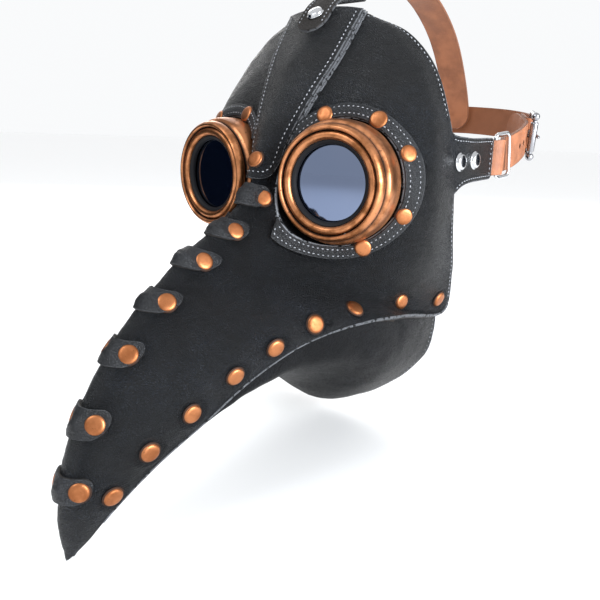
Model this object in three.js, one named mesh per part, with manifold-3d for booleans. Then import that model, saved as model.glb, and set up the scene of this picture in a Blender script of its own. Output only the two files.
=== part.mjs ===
// Plague doctor mask: a long-beaked leather face mask with round goggles, riveted seams and a buckled head harness.
// Millimetres, +Z up. The wearer looks along -Y and the wearer's left is +X.
// The origin is the middle of the wearer's head opening, at eye height, and the mask is symmetric about X = 0.
import * as THREE from "three";
import { mergeVertices } from "three/addons/utils/BufferGeometryUtils.js";
import Module from "manifold-3d";

const leather = 2.4;        // thickness of the face leather
const gap = 0.3;            // clearance between touching pieces
const bandLeather = 2.0;    // thickness of straps and bands laid over the face
const strapLeather = 2.2;   // thickness of the harness straps
const strapWidth = 20;
const rivetRadius = 4.4;
const rivetHeight = 2.2;
const wireRadius = 1.1;     // chrome loops
const buckleWire = 1.4;     // buckle frames

const goggle = {
  centre: new THREE.Vector3(39.9, -65, 0), // middle of the front ring's front plane
  splay: 8.8,                              // degrees outward from straight ahead
  sides: 28,
  holeRadius: 30.9,
  flangeInner: 31.2,
  flangeOuter: 38,
  flangeStart: 14.5,                       // the flange stops short of the nose, at this X
  flangeSides: 36,
  flangePlaces: [2.4, 7.9],                // the part of the face the flange is cut from
  flangeReach: [0.06, 0.92],
  cutDepth: 60,                            // how far behind and ahead of the front plane the cutters reach
  cutAhead: 30,
};

// Face rows run from the forehead's top edge to the beak's root and on to the beak's tip.
// Each row: centre line y, z; outer edge x, y, z; half widths at 0.1, 0.3 and 0.6 of the way back.
const rowBack = [0.1, 0.3, 0.6];
const faceRows = [
  [-15.5, 86.5, 28.5, -11, 82.5, 11, 19, 25],
  [-24, 76, 47, -7, 74, 14, 27.5, 41],
  [-35.5, 60.5, 61, -3, 58, 18, 40, 56],
  [-48.5, 40.5, 70, -2, 36, 21, 53.5, 66.7],
  [-60, 22, 73, 5, 12, 16.5, 60.3, 71.8],
  [-69, 6, 73, 8, -8, 8, 61, 74],
  [-80, -11, 73, 12, -30, 7, 48, 72],
  [-97, -23, 72, 18, -50, 9, 30, 68],
  [-115, -32, 68, 21, -74, 10, 28, 57],
  [-132, -44, 67, -25, -67, 10, 27, 50],
  [-147, -57, 60, -56, -66, 10, 24, 43],
  [-160, -71, 46, -84, -73, 10, 21, 35],
  [-171, -86, 34, -108, -87, 9, 18, 28],
  [-179, -101, 26.3, -129.4, -102.3, 8, 15, 22],
  [-185, -118, 16.9, -150.7, -118.8, 6.5, 11, 15],
  [-188, -135, 9.6, -169.7, -135.8, 4.3, 7, 9],
  [-187, -154, 2.4, -185.5, -154.6, 1, 1.5, 2],
];
// Chin rows start at face row 8, the jaw corner. Each row: bottom y, z; flank x, y, z; belly x, y, z.
const chinStart = 8;
const chinRows = [
  [20, -146, 56, 28, -104, 30, 26, -133],
  [-12, -137, 57, -20, -98, 31, -15, -125],
  [-40, -117, 50, -53, -88, 27, -43, -108],
  [-68, -104, 39, -79, -87, 22, -71, -99],
  [-95, -103, 30, -104, -95, 17, -97, -101],
  [-119, -111, 21, -127, -107, 12, -121, -110],
  [-142, -125, 12, -149, -120, 7, -144, -124],
  [-166, -138, 6, -169, -135, 3.5, -167, -137.5],
];
const tipStart = 14.9;      // the face row where the hollow panels end and the solid tip begins
const tip = { gap: 0.08, end: 15.98, rings: 7, drop: 3 };
const chinEnd = 14.75;      // the chin panel stops a little short of the face panel's end
const chinClearance = 1.25; // space between the lapped panels at the seam
const chinLap = 0.09;       // how far the chin panel runs up behind the face panel, as a share of a row

const wasm = await Module();
wasm.setup();

function toWelded(geometry) {
  const bare = geometry.clone();
  bare.deleteAttribute("normal");
  bare.deleteAttribute("uv");
  return mergeVertices(bare, 1e-4);
}

function toSolid(geometry) {
  const welded = toWelded(geometry);
  const vertProperties = Float32Array.from(welded.attributes.position.array);
  const triVerts = Uint32Array.from(welded.index.array);
  return new wasm.Manifold(new wasm.Mesh({ numProp: 3, vertProperties, triVerts }));
}

function toGeometry(solid) {
  const mesh = solid.getMesh();
  const geometry = new THREE.BufferGeometry();
  geometry.setAttribute("position", new THREE.BufferAttribute(new Float32Array(mesh.vertProperties), 3));
  geometry.setIndex(new THREE.BufferAttribute(new Uint32Array(mesh.triVerts), 1));
  return geometry;
}

// A cut can leave crumbs behind: this keeps the piece itself.
function largestBody(solid) {
  return solid.decompose().sort((a, b) => b.volume() - a.volume())[0];
}

function flipFaces(geometry) {
  const index = geometry.index.array;
  for (let i = 0; i < index.length; i += 3) {
    [index[i + 1], index[i + 2]] = [index[i + 2], index[i + 1]];
  }
  return geometry;
}

function mirrored(geometry) {
  const copy = geometry.index ? geometry.clone() : mergeVertices(geometry);
  copy.scale(-1, 1, 1);
  return flipFaces(copy);
}

function volumeOf(geometry) {
  const p = geometry.attributes.position;
  const index = geometry.index.array;
  const [a, b, c] = [new THREE.Vector3(), new THREE.Vector3(), new THREE.Vector3()];
  let sum = 0;
  for (let i = 0; i < index.length; i += 3) {
    a.fromBufferAttribute(p, index[i]);
    b.fromBufferAttribute(p, index[i + 1]);
    c.fromBufferAttribute(p, index[i + 2]);
    sum += a.dot(b.cross(c));
  }
  return sum / 6;
}

// The values of a table of rows at a place between two rows, along a smooth curve through them.
function between(rows, place) {
  const last = rows.length - 1;
  const t = Math.min(Math.max(place, 0), last);
  const i = Math.min(Math.floor(t), last - 1);
  const f = t - i;
  return rows[i].map((p1, k) => {
    const p2 = rows[i + 1][k];
    const p0 = i > 0 ? rows[i - 1][k] : 2 * p1 - p2;
    const p3 = i + 2 <= last ? rows[i + 2][k] : 2 * p2 - p1;
    const quadratic = 2 * p0 - 5 * p1 + 4 * p2 - p3;
    const cubic = 3 * p1 - p0 - 3 * p2 + p3;
    return 0.5 * (2 * p1 + (p2 - p0) * f + quadratic * f * f + cubic * f ** 3);
  });
}

// A smooth curve across the mask through a middle point and the points of one half, mirrored for the other.
function acrossCurve(middle, half) {
  const left = half.map((p) => new THREE.Vector3(...p));
  const right = left.map((p) => new THREE.Vector3(-p.x, p.y, p.z)).reverse();
  return new THREE.CatmullRomCurve3([...right, new THREE.Vector3(...middle), ...left]);
}

// The outside of the face leather. Place runs down the rows, side from -1 to 1 across one of them.
function face(place, side) {
  const [ry, rz, ex, ey, ez, ...widths] = between(faceRows, place);
  const half = widths.map((x, k) => [x, ry + rowBack[k] * (ey - ry), rz + rowBack[k] * (ez - rz)]);
  return acrossCurve([0, ry, rz], [...half, [ex, ey, ez]]).getPoint(0.5 + 0.5 * side);
}

// The face carried straight on a little way past its edges.
function faceBeyond(place, side) {
  const over = Math.abs(side) - 1;
  if (over <= 0) return face(place, side);
  const edge = face(place, Math.sign(side));
  const inner = face(place, Math.sign(side) * 0.96);
  return edge.clone().addScaledVector(edge.clone().sub(inner), over / 0.04);
}

function normalAt(surface, place, wantedSide) {
  const step = 0.004;
  const side = THREE.MathUtils.clamp(wantedSide, -1, 1);
  const down = surface(place + step, side).sub(surface(place - step, side));
  const out = surface(place, Math.min(side + step, 1)).sub(surface(place, Math.max(side - step, -1)));
  return down.cross(out).normalize();
}

function raised(surface, place, side, height) {
  return surface(place, side).addScaledVector(normalAt(surface, place, side), height);
}

// The outside of the chin panel. It starts behind the face leather, drops past the seam and rounds under the jaw.
function chin(place, side) {
  const row = Math.min(Math.max(place, chinStart), tipStart);
  const [by, bz, fx, fy, fz, mx, my, mz] = between(chinRows, row - chinStart);
  const inside = -(leather + chinClearance);
  const lapped = raised(face, row, 1 - chinLap, inside).toArray();
  const seam = raised(face, row, 0.98, inside).toArray();
  const half = [[mx, my, mz], [fx, fy, fz], seam, lapped];
  return acrossCurve([0, by, bz], half).getPoint(0.5 + 0.5 * side);
}

function range(from, to, steps) {
  return Array.from({ length: steps + 1 }, (_, i) => from + ((to - from) * i) / steps);
}

const facePlaces = range(0, tipStart, 30);
const faceSides = range(-1, 1, 24);

// A closed sheet with thickness over a grid of points: one face at the inner height, one at the outer.
function sheet(at, rows, columns, inner, outer) {
  const count = rows * columns;
  const points = [];
  for (const height of [outer, inner]) {
    for (let i = 0; i < rows; i += 1) {
      for (let j = 0; j < columns; j += 1) points.push(...at(i, j, height).toArray());
    }
  }
  const index = [];
  const quad = (a, b, c, d) => index.push(a, b, c, a, c, d);
  for (let i = 0; i + 1 < rows; i += 1) {
    for (let j = 0; j + 1 < columns; j += 1) {
      const corners = [0, columns, columns + 1, 1].map((c) => c + i * columns + j);
      if (j < (columns - 1) / 2) corners.unshift(corners.pop());
      quad(...corners);
      quad(...corners.reverse().map((c) => c + count));
    }
  }
  const rim = [];
  for (let j = 0; j + 1 < columns; j += 1) rim.push(j);
  for (let i = 0; i + 1 < rows; i += 1) rim.push(i * columns + columns - 1);
  for (let j = columns - 1; j > 0; j -= 1) rim.push((rows - 1) * columns + j);
  for (let i = rows - 1; i > 0; i -= 1) rim.push(i * columns);
  rim.forEach((a, i) => {
    const b = rim[(i + 1) % rim.length];
    quad(a, b, b + count, a + count);
  });
  const geometry = new THREE.BufferGeometry();
  geometry.setAttribute("position", new THREE.BufferAttribute(new Float32Array(points), 3));
  geometry.setIndex(index);
  return volumeOf(geometry) < 0 ? flipFaces(geometry) : geometry;
}

function layer(surface, places, sides, inner, outer) {
  const at = (i, j, height) => raised(surface, places[i], sides[j], height);
  return sheet(at, places.length, sides.length, inner, outer);
}

// The face leather and its clearance, which pieces laid over the face are trimmed by.
const overFace = toSolid(layer(face, facePlaces, faceSides, -leather, gap));

// ---- goggles ----

const goggleAxis = new THREE.Vector3(
  Math.sin(THREE.MathUtils.degToRad(goggle.splay)),
  -Math.cos(THREE.MathUtils.degToRad(goggle.splay)),
  0,
);

// Turns a profile of [radius, distance ahead of the front plane] about the left goggle's axis.
function turned(profile, sides = goggle.sides) {
  const closed = [...profile, profile[0]].map(([r, z]) => new THREE.Vector2(r, z));
  const geometry = new THREE.LatheGeometry(closed, sides);
  geometry.applyQuaternion(new THREE.Quaternion().setFromUnitVectors(new THREE.Vector3(0, 1, 0), goggleAxis));
  geometry.translate(...goggle.centre.toArray());
  return outward(geometry);
}

function outward(geometry) {
  const welded = toWelded(geometry);
  return volumeOf(welded) < 0 ? flipFaces(welded) : welded;
}

const goggleProfiles = {
  goggle_collar: [[26.5, -20], [30.5, -20], [30.5, -7], [29.6, -5.3], [26.5, -5.3]],
  goggle_rim: [[24.3, -9], [26.2, -9], [26.2, -5], [28, -4.6], [28, -2], [27, -0.5], [25.6, 0], [24.3, -0.8]],
  goggle_bezel: [[20.9, -9], [24, -9], [24, -2.2], [23.2, -1], [21.8, -1], [20.9, -2]],
  lens_gasket: [[18.4, -5], [20.6, -5], [20.6, -2.6], [18.4, -3.2]],
  lens_retainer: [[18.4, -11], [20.6, -11], [20.6, -8.3], [18.4, -8.3]],
};

function lensGeometry() {
  const profile = [[0, -8], [20.6, -8], [20.6, -5.8], [18.2, -5.3], [10, -4.5], [0, -4.2]];
  const geometry = new THREE.LatheGeometry(profile.map(([r, z]) => new THREE.Vector2(r, z)), goggle.sides);
  geometry.applyQuaternion(new THREE.Quaternion().setFromUnitVectors(new THREE.Vector3(0, 1, 0), goggleAxis));
  geometry.translate(...goggle.centre.toArray());
  return outward(geometry);
}

function goggleDrill() {
  const { holeRadius, cutDepth, cutAhead } = goggle;
  return toSolid(turned([[0, -cutDepth], [holeRadius, -cutDepth], [holeRadius, cutAhead], [0, cutAhead]]));
}

function flangeGeometry() {
  const { flangeInner, flangeOuter, flangeStart, cutDepth, cutAhead } = goggle;
  const ring = toSolid(turned([
    [flangeInner, -cutDepth], [flangeOuter, -cutDepth], [flangeOuter, cutAhead], [flangeInner, cutAhead],
  ], goggle.flangeSides));
  const places = range(...goggle.flangePlaces, 15);
  const patch = toSolid(layer(face, places, range(...goggle.flangeReach, 12), 0, gap + bandLeather));
  const beside = new THREE.BoxGeometry(4 * cutDepth, 4 * cutDepth, 4 * cutDepth);
  beside.translate(2 * cutDepth + flangeStart, 0, 0);
  const cleared = ring.intersect(patch.subtract(overFace)).intersect(toSolid(beside));
  return toGeometry(largestBody(cleared));
}

// ---- face leather ----

// The side tab that carries the harness: a strip running back from the temple, narrowing and rounded at its end.
const tab = {
  path: new THREE.CatmullRomCurve3([
    new THREE.Vector3(71.4, -8, 11), new THREE.Vector3(73.2, 5, 11),
    new THREE.Vector3(75, 25, 12), new THREE.Vector3(76, 50, 13),
  ]),
  rootHalf: 16,
  flare: 4,        // extra half width where the tab leaves the face
  endHalf: 11.6,
  narrowBy: 0.625, // the share of its length at which it reaches that
  rivets: { front: 0.42, rear: 0.68, radius: 4.2, height: 2 },
};

// A strip along a path: shares 0..1 along it, columns -1..1 across its width.
function ribbon(path, shares, halfWidth, inner, outer, across, columns = [-1, 1]) {
  const at = (i, j, height) => {
    const tangent = path.getTangent(shares[i]);
    const up = across(tangent);
    const out = new THREE.Vector3().crossVectors(tangent, up).normalize();
    const middle = path.getPoint(shares[i]).addScaledVector(out, height);
    return middle.addScaledVector(up, columns[j] * halfWidth(shares[i]));
  };
  return sheet(at, shares.length, columns.length, inner, outer);
}

// Width direction of a strap that stands on edge, such as one that runs round the head.
const onEdge = (tangent) => new THREE.Vector3(0, 0, 1).addScaledVector(tangent, -tangent.z).normalize();
// Width direction of a strap that lies over the crown.
const overCrown = () => new THREE.Vector3(1, 0, 0);

function tabHalf(share) {
  const root = tab.rootHalf + (1 - share) ** 3 * tab.flare;
  return THREE.MathUtils.lerp(root, tab.endHalf, Math.min(share / tab.narrowBy, 1));
}

function faceLeather() {
  let solid = toSolid(layer(face, facePlaces, faceSides, -leather, 0));
  const flap = ribbon(tab.path, range(0, 1, 7), tabHalf, -leather + gap, -gap, onEdge);
  const drill = goggleDrill();
  const drills = [drill, toSolid(mirrored(toGeometry(drill)))];
  for (const side of [flap, mirrored(flap)]) solid = solid.add(toSolid(side));
  for (const hole of drills) solid = solid.subtract(hole);
  return toGeometry(solid);
}

function chinLeather() {
  const panel = toSolid(layer(chin, range(chinStart, chinEnd, 14), range(-1, 1, 20), -leather, 0));
  const keepOut = toSolid(layer(faceBeyond, facePlaces, [-1.04, ...faceSides, 1.04], -leather - 2 * gap, leather));
  return toGeometry(largestBody(panel.subtract(keepOut)));
}

// The solid end of the beak: rings of the joined outline of both panels, shrinking to a blunt point.
function beakTip() {
  const start = tipStart + tip.gap;
  const { rings } = tip;
  const perRing = 12; // nine points over the ridge, three under it
  const points = [];
  for (let i = 0; i < rings; i += 1) {
    const place = start + ((tip.end - start) * i) / (rings - 1);
    for (let j = 0; j <= 8; j += 1) points.push(face(place, -1 + j / 4));
    const [left, right] = [face(place, 1), face(place, -1)];
    for (const share of [0.25, 0.5, 0.75]) {
      const under = left.clone().lerp(right, share);
      const drop = tip.drop * Math.sin(Math.PI * share) * (1 - i / rings);
      points.push(under.add(new THREE.Vector3(0, drop * 0.7, -drop * 0.5)));
    }
  }
  const index = [];
  for (let i = 0; i + 1 < rings; i += 1) {
    for (let j = 0; j < perRing; j += 1) {
      const [a, b] = [i * perRing + j, i * perRing + ((j + 1) % perRing)];
      index.push(a, b, b + perRing, a, b + perRing, a + perRing);
    }
  }
  for (const [ring, flip] of [[0, true], [rings - 1, false]]) {
    for (let j = 1; j + 1 < perRing; j += 1) {
      const [a, b, c] = [ring * perRing, ring * perRing + j, ring * perRing + j + 1];
      index.push(...(flip ? [a, c, b] : [a, b, c]));
    }
  }
  const geometry = new THREE.BufferGeometry().setFromPoints(points);
  geometry.setIndex(index);
  return volumeOf(geometry) < 0 ? flipFaces(geometry) : geometry;
}

// ---- bands and strip over the face ----

// The side value on a face row where its half width is x.
function sideWhere(place, x) {
  let [low, high] = [0, 1];
  for (let i = 0; i < 24; i += 1) {
    const middle = (low + high) / 2;
    if (face(place, middle).x < x) low = middle;
    else high = middle;
  }
  return low;
}

// Half width of the forehead strip at each face row from its top, ending in a rounded tongue.
const strip = { from: 0, to: 5.35, halfWidths: [23, 22.5, 21, 16, 11, 7], roundFrom: 4.85 };

function stripHalf(place) {
  const [x] = between(strip.halfWidths.map((w) => [w]), place);
  const round = Math.max(place - strip.roundFrom, 0) / (strip.to - strip.roundFrom);
  return x * Math.sqrt(Math.max(1 - round * round, 0.01));
}

// The strip runs on past the forehead's edge as the tongue that carries the crown strap.
const topTab = {
  path: new THREE.CatmullRomCurve3([
    new THREE.Vector3(0, -22, 81.2), new THREE.Vector3(0, -17.2, 87.6), new THREE.Vector3(0, -9, 93.2),
    new THREE.Vector3(0, 2, 99.2), new THREE.Vector3(0, 14, 104.4),
  ]),
  half: 9,
  thickness: 1.6,
};

function foreheadStrip() {
  const places = [...range(strip.from, strip.roundFrom, 12), ...range(strip.roundFrom, strip.to, 4).slice(1)];
  const columns = range(-1, 1, 6);
  const at = (i, j, height) => {
    const side = sideWhere(places[i], stripHalf(places[i]));
    return raised(face, places[i], side * columns[j], height);
  };
  const body = toSolid(sheet(at, places.length, columns.length, 2 * gap, 2 * gap + bandLeather));
  const tongue = ribbon(topTab.path, range(0, 1, 6), () => topTab.half, -topTab.thickness, 0, overCrown);
  return toGeometry(body.add(toSolid(tongue)));
}

// A saddle band over the beak: its middle face row, half length along the beak and how far it wraps each side.
const ridgeBands = [
  { place: 7.0, half: 0.36, wrap: 0.25, rivet: 0.16 },
  { place: 8.2, half: 0.33, wrap: 0.24, rivet: 0.15 },
  { place: 9.5, half: 0.34, wrap: 0.25, rivet: 0.16 },
  { place: 10.9, half: 0.36, wrap: 0.25, rivet: 0.15 },
  { place: 12.6, half: 0.42, wrap: 0.3, rivet: 0.18 },
  { place: 14.15, half: 0.34, wrap: 0.42, rivet: 0.27 },
];
const noseBand = { place: 5.8, half: 0.34, wrap: 0.27, rivet: 0.21 };

function saddle(band) {
  const lift = 2 * gap;
  const columns = range(-1, 1, 12);
  const rows = range(-1, 1, 2);
  const roundFrom = 0.6; // the share of the wrap at which the ends start to round
  const at = (i, j, height) => {
    const along = Math.max(Math.abs(columns[j]) - roundFrom, 0) / (1 - roundFrom);
    const half = band.half * Math.sqrt(Math.max(1 - along * along, 0.02));
    return raised(face, band.place + rows[i] * half, columns[j] * band.wrap, height);
  };
  return sheet(at, rows.length, columns.length, lift, lift + bandLeather);
}

// ---- rivets ----

const rivetProfile = [[0, 0], [1, 0], [1, 0.3], [0.7, 0.84], [0, 1]];

// A domed rivet head with its flat back on a point, facing along a direction.
function rivetHead(point, direction, radius = rivetRadius, height = rivetHeight) {
  const profile = rivetProfile.map(([r, z]) => new THREE.Vector2(r * radius, z * height));
  const geometry = new THREE.LatheGeometry(profile, 10);
  geometry.applyQuaternion(new THREE.Quaternion().setFromUnitVectors(new THREE.Vector3(0, 1, 0), direction));
  geometry.translate(...point.toArray());
  return outward(geometry);
}

// Seam rivets on one side, from the jaw to the beak's tip: face row and side.
const seamRivets = [
  [7.7, 0.95], [8.05, 0.82], [8.9, 0.8], [10, 0.83], [11, 0.87],
  [11.75, 0.85], [12.65, 0.82], [13.5, 0.77], [14.5, 0.77],
];

function seamRivet([place, side]) {
  const head = rivetHead(raised(face, place, side, 2 * gap), normalAt(face, place, side));
  return toGeometry(toSolid(head).subtract(overFace));
}

function tabRivet(share) {
  const tangent = tab.path.getTangent(share);
  const out = new THREE.Vector3().crossVectors(tangent, onEdge(tangent)).normalize();
  return rivetHead(tab.path.getPoint(share).addScaledVector(out, gap), out, tab.rivets.radius, tab.rivets.height);
}

// ---- harness ----

const sideStrapPath = new THREE.CatmullRomCurve3([
  [71.2, 18, 12], [72, 38, 12.6], [72.4, 51, 13], [76.2, 54.6, 13.4], [78, 57.5, 13.8], [77.4, 61, 14],
  [75, 66, 15], [75, 80, 17], [74.4, 98, 21], [72.2, 114, 25], [70.2, 121, 26.5], [68.4, 126.5, 28],
].map((p) => new THREE.Vector3(...p)));

function strap(path, steps, across) {
  return ribbon(path, range(0, 1, steps), () => strapWidth / 2, -strapLeather / 2, strapLeather / 2, across);
}

// A tube along straight runs with the given radius, closed into a loop: a rectangle of bent wire.
function wireLoop(corners, radius, bend) {
  const path = new THREE.CurvePath();
  const count = corners.length;
  const cut = (from, to) => to.clone().sub(from).setLength(bend).add(from);
  for (let i = 0; i < count; i += 1) {
    const [before, corner, after] = [corners[(i + count - 1) % count], corners[i], corners[(i + 1) % count]];
    path.add(new THREE.QuadraticBezierCurve3(cut(corner, before), corner, cut(corner, after)));
    path.add(new THREE.LineCurve3(cut(corner, after), cut(after, corner)));
  }
  return tubeAround(path.getSpacedPoints(28).slice(0, -1), radius);
}

// A closed tube of six sides round a ring of points that lie in one plane.
function tubeAround(points, radius) {
  const sides = 6;
  const count = points.length;
  const normal = new THREE.Vector3().crossVectors(
    points[Math.floor(count / 3)].clone().sub(points[0]),
    points[Math.floor((2 * count) / 3)].clone().sub(points[0]),
  ).normalize();
  const ring = [];
  points.forEach((point, i) => {
    const tangent = points[(i + 1) % count].clone().sub(points[(i + count - 1) % count]).normalize();
    const out = new THREE.Vector3().crossVectors(tangent, normal).normalize();
    for (let j = 0; j < sides; j += 1) {
      const angle = (2 * Math.PI * (j + 0.5)) / sides;
      const offset = out.clone().multiplyScalar(Math.cos(angle)).addScaledVector(normal, Math.sin(angle));
      ring.push(point.clone().addScaledVector(offset, radius));
    }
  });
  const index = [];
  for (let i = 0; i < count; i += 1) {
    for (let j = 0; j < sides; j += 1) {
      const [a, b] = [i * sides + j, i * sides + ((j + 1) % sides)];
      const [c, d] = [((i + 1) % count) * sides + j, ((i + 1) % count) * sides + ((j + 1) % sides)];
      index.push(a, b, d, a, d, c);
    }
  }
  const geometry = new THREE.BufferGeometry().setFromPoints(ring);
  geometry.setIndex(index);
  return volumeOf(geometry) < 0 ? flipFaces(geometry) : geometry;
}

const strapLoop = { front: [74.8, 57.5, 13.8], rear: [78.2, 70, 15.7], half: 12.6, bend: 4 };

// A bent wire rectangle between a front and a rear bar.
function wireRectangle(part, radius, across) {
  const [front, rear] = [new THREE.Vector3(...part.front), new THREE.Vector3(...part.rear)];
  const reach = across(rear.clone().sub(front).normalize()).multiplyScalar(part.half);
  const corners = [front.clone().add(reach), front.clone().sub(reach), rear.clone().sub(reach), rear.clone().add(reach)];
  return wireLoop(corners, radius, part.bend);
}

const buckle = {
  front: [75.6, 119.5, 26.5],
  rear: [68.6, 133, 29.5],
  half: 13.6,
  bend: 3,
  rollerRadius: 2.4,
  rollerLength: 19,
  eyeWall: 1.2,      // thickness of the prong's eye round the rear bar
  eyeLength: 4,
  prongWidth: 3,
  prongHeight: 1.4,
  prongTip: 2.4,     // how far the prong reaches past the roller's middle
};

function buckleAxes() {
  const [front, rear] = [new THREE.Vector3(...buckle.front), new THREE.Vector3(...buckle.rear)];
  const along = rear.clone().sub(front).normalize();
  const up = onEdge(along);
  const out = new THREE.Vector3().crossVectors(along, up).normalize();
  return { front, rear, along, up, out };
}

function roundBar(middle, direction, length, radius, inner = 0) {
  const h = length / 2;
  const outline = inner > 0
    ? [[inner, -h], [radius, -h], [radius, h], [inner, h], [inner, -h]]
    : [[0, -h], [radius, -h], [radius, h], [0, h]];
  const geometry = new THREE.LatheGeometry(outline.map(([r, z]) => new THREE.Vector2(r, z)), 14);
  geometry.applyQuaternion(new THREE.Quaternion().setFromUnitVectors(new THREE.Vector3(0, 1, 0), direction));
  geometry.translate(...middle.toArray());
  return outward(geometry);
}

function buckleRoller() {
  const { front, up } = buckleAxes();
  return roundBar(front, up, buckle.rollerLength, buckle.rollerRadius, buckleWire + gap);
}

// The prong: an eye round the frame's rear bar and a tongue that rests on the roller.
function buckleProng() {
  const { front, rear, along, up, out } = buckleAxes();
  const { eyeWall, eyeLength, prongWidth, prongHeight, prongTip, rollerRadius } = buckle;
  const eyeInner = buckleWire + gap;
  const eye = toSolid(roundBar(rear, up, eyeLength, eyeInner + eyeWall, eyeInner));
  const length = rear.distanceTo(front);
  const roller = rollerRadius + gap;
  const bendAt = length + prongTip / 2;
  const shape = new THREE.Shape();
  shape.moveTo(-1.5 * eyeWall, eyeInner + gap);
  shape.lineTo(-bendAt, roller);
  shape.lineTo(-length - prongTip, roller + prongHeight / 3);
  shape.lineTo(-bendAt, roller + prongHeight);
  shape.lineTo(eyeWall, eyeInner + eyeWall);
  shape.lineTo(eyeWall, eyeInner + gap);
  const geometry = new THREE.ExtrudeGeometry(shape, { depth: prongWidth, bevelEnabled: false });
  geometry.translate(0, 0, -prongWidth / 2);
  const basis = new THREE.Matrix4().makeBasis(along, out, along.clone().cross(out)).setPosition(rear);
  geometry.applyMatrix4(basis);
  return toGeometry(eye.add(toSolid(outward(geometry))));
}

const rearStrapPath = new THREE.CatmullRomCurve3([
  [66.4, 137, 30.5], [58, 149, 33], [42, 161, 36], [22, 168, 38], [0, 170, 39],
  [-22, 168, 38], [-42, 161, 36], [-58, 149, 33], [-66.4, 137, 30.5],
].map((p) => new THREE.Vector3(...p)));

const crownStrapPath = new THREE.CatmullRomCurve3([
  [0, 30, 111], [0, 46, 116], [0, 75, 117], [0, 105, 109], [0, 133, 92], [0, 155, 66], [0, 166.5, 44], [0, 166.6, 32],
].map((p) => new THREE.Vector3(...p)));

const crownLoop = { front: [0, 17, 104.9], rear: [0, 27.5, 112.6], half: 12.6, bend: 4 };

// ---- assembly ----

const finish = {
  face: new THREE.MeshStandardMaterial({ color: 0x1b1d20, roughness: 0.55, metalness: 0 }),
  chin: new THREE.MeshStandardMaterial({ color: 0x141517, roughness: 0.45, metalness: 0 }),
  copper: new THREE.MeshStandardMaterial({ color: 0xb06a3c, roughness: 0.4, metalness: 0.8 }),
  rubber: new THREE.MeshStandardMaterial({ color: 0x0a0a0b, roughness: 0.7, metalness: 0 }),
  lens: new THREE.MeshStandardMaterial({ color: 0x1a2230, roughness: 0.05, metalness: 0 }),
  tan: new THREE.MeshStandardMaterial({ color: 0xa8643c, roughness: 0.6, metalness: 0 }),
  chrome: new THREE.MeshStandardMaterial({ color: 0xd8d8d8, roughness: 0.15, metalness: 1 }),
};

const mask = new THREE.Group();

function addPiece(name, geometry, material) {
  const piece = new THREE.Mesh(geometry, material.clone());
  piece.name = name;
  mask.add(piece);
}

// Adds a piece for the wearer's left and its mirror image for the right.
function addPair(name, geometry, material) {
  addPiece(`${name}_left`, geometry, material);
  addPiece(`${name}_right`, mirrored(geometry), material);
}

addPiece("face_leather", faceLeather(), finish.face);
addPiece("chin_panel", chinLeather(), finish.chin);
addPiece("beak_tip", beakTip(), finish.chin);
addPiece("forehead_strip", foreheadStrip(), finish.face);
addPiece("nose_band", saddle(noseBand), finish.face);
ridgeBands.forEach((band, i) => addPiece(`ridge_band_${i + 1}`, saddle(band), finish.face));
addPair("goggle_flange", flangeGeometry(), finish.face);
for (const [name, profile] of Object.entries(goggleProfiles)) {
  const material = name.startsWith("lens") ? finish.rubber : finish.copper;
  addPair(name, turned(profile), material);
}
addPair("lens", lensGeometry(), finish.lens);
addPair("side_strap", strap(sideStrapPath, 30, onEdge), finish.tan);
addPair("strap_loop", wireRectangle(strapLoop, wireRadius, onEdge), finish.chrome);
addPair("buckle_frame", wireRectangle(buckle, buckleWire, onEdge), finish.chrome);
addPair("buckle_prong", buckleProng(), finish.chrome);
addPair("buckle_roller", buckleRoller(), finish.chrome);
addPiece("rear_strap", strap(rearStrapPath, 36, onEdge), finish.tan);
addPiece("crown_strap", strap(crownStrapPath, 30, overCrown), finish.tan);
addPiece("crown_loop", wireRectangle(crownLoop, wireRadius, overCrown), finish.chrome);
seamRivets.forEach((rivet, i) => addPair(`seam_rivet_${i + 1}`, seamRivet(rivet), finish.copper));
addPair("tab_rivet_front", tabRivet(tab.rivets.front), finish.chrome);
addPair("tab_rivet_rear", tabRivet(tab.rivets.rear), finish.chrome);

export default mask;
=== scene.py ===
import math
import random

import bpy
import numpy as np
from mathutils import Matrix, Vector, noise


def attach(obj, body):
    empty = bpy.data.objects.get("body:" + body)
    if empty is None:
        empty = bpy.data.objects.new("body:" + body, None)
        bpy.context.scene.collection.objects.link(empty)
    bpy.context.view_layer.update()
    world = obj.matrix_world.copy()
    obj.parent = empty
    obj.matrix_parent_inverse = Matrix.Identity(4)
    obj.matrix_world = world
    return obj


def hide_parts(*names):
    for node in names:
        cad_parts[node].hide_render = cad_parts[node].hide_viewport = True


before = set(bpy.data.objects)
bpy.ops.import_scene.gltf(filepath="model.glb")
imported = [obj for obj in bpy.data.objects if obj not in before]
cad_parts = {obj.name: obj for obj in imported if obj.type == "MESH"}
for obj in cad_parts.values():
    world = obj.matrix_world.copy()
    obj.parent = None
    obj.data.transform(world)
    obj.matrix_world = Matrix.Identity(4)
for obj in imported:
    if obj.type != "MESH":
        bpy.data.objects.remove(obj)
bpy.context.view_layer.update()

mm = 0.001               # tables and lengths below are in millimetres; meshes are made in metres
sides = {"Left": 1, "Right": -1}
random.seed(4)

# ---------- camera, floor and light ----------

camera = {
    "place": (206.685, -304.741, 20.352),
    "right": (0.794218, 0.606699, 0.03368),
    "up": (-0.181252, 0.18364, 0.966139),
    "lens": 36.57,
    "sensor": 36.0,
}


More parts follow.
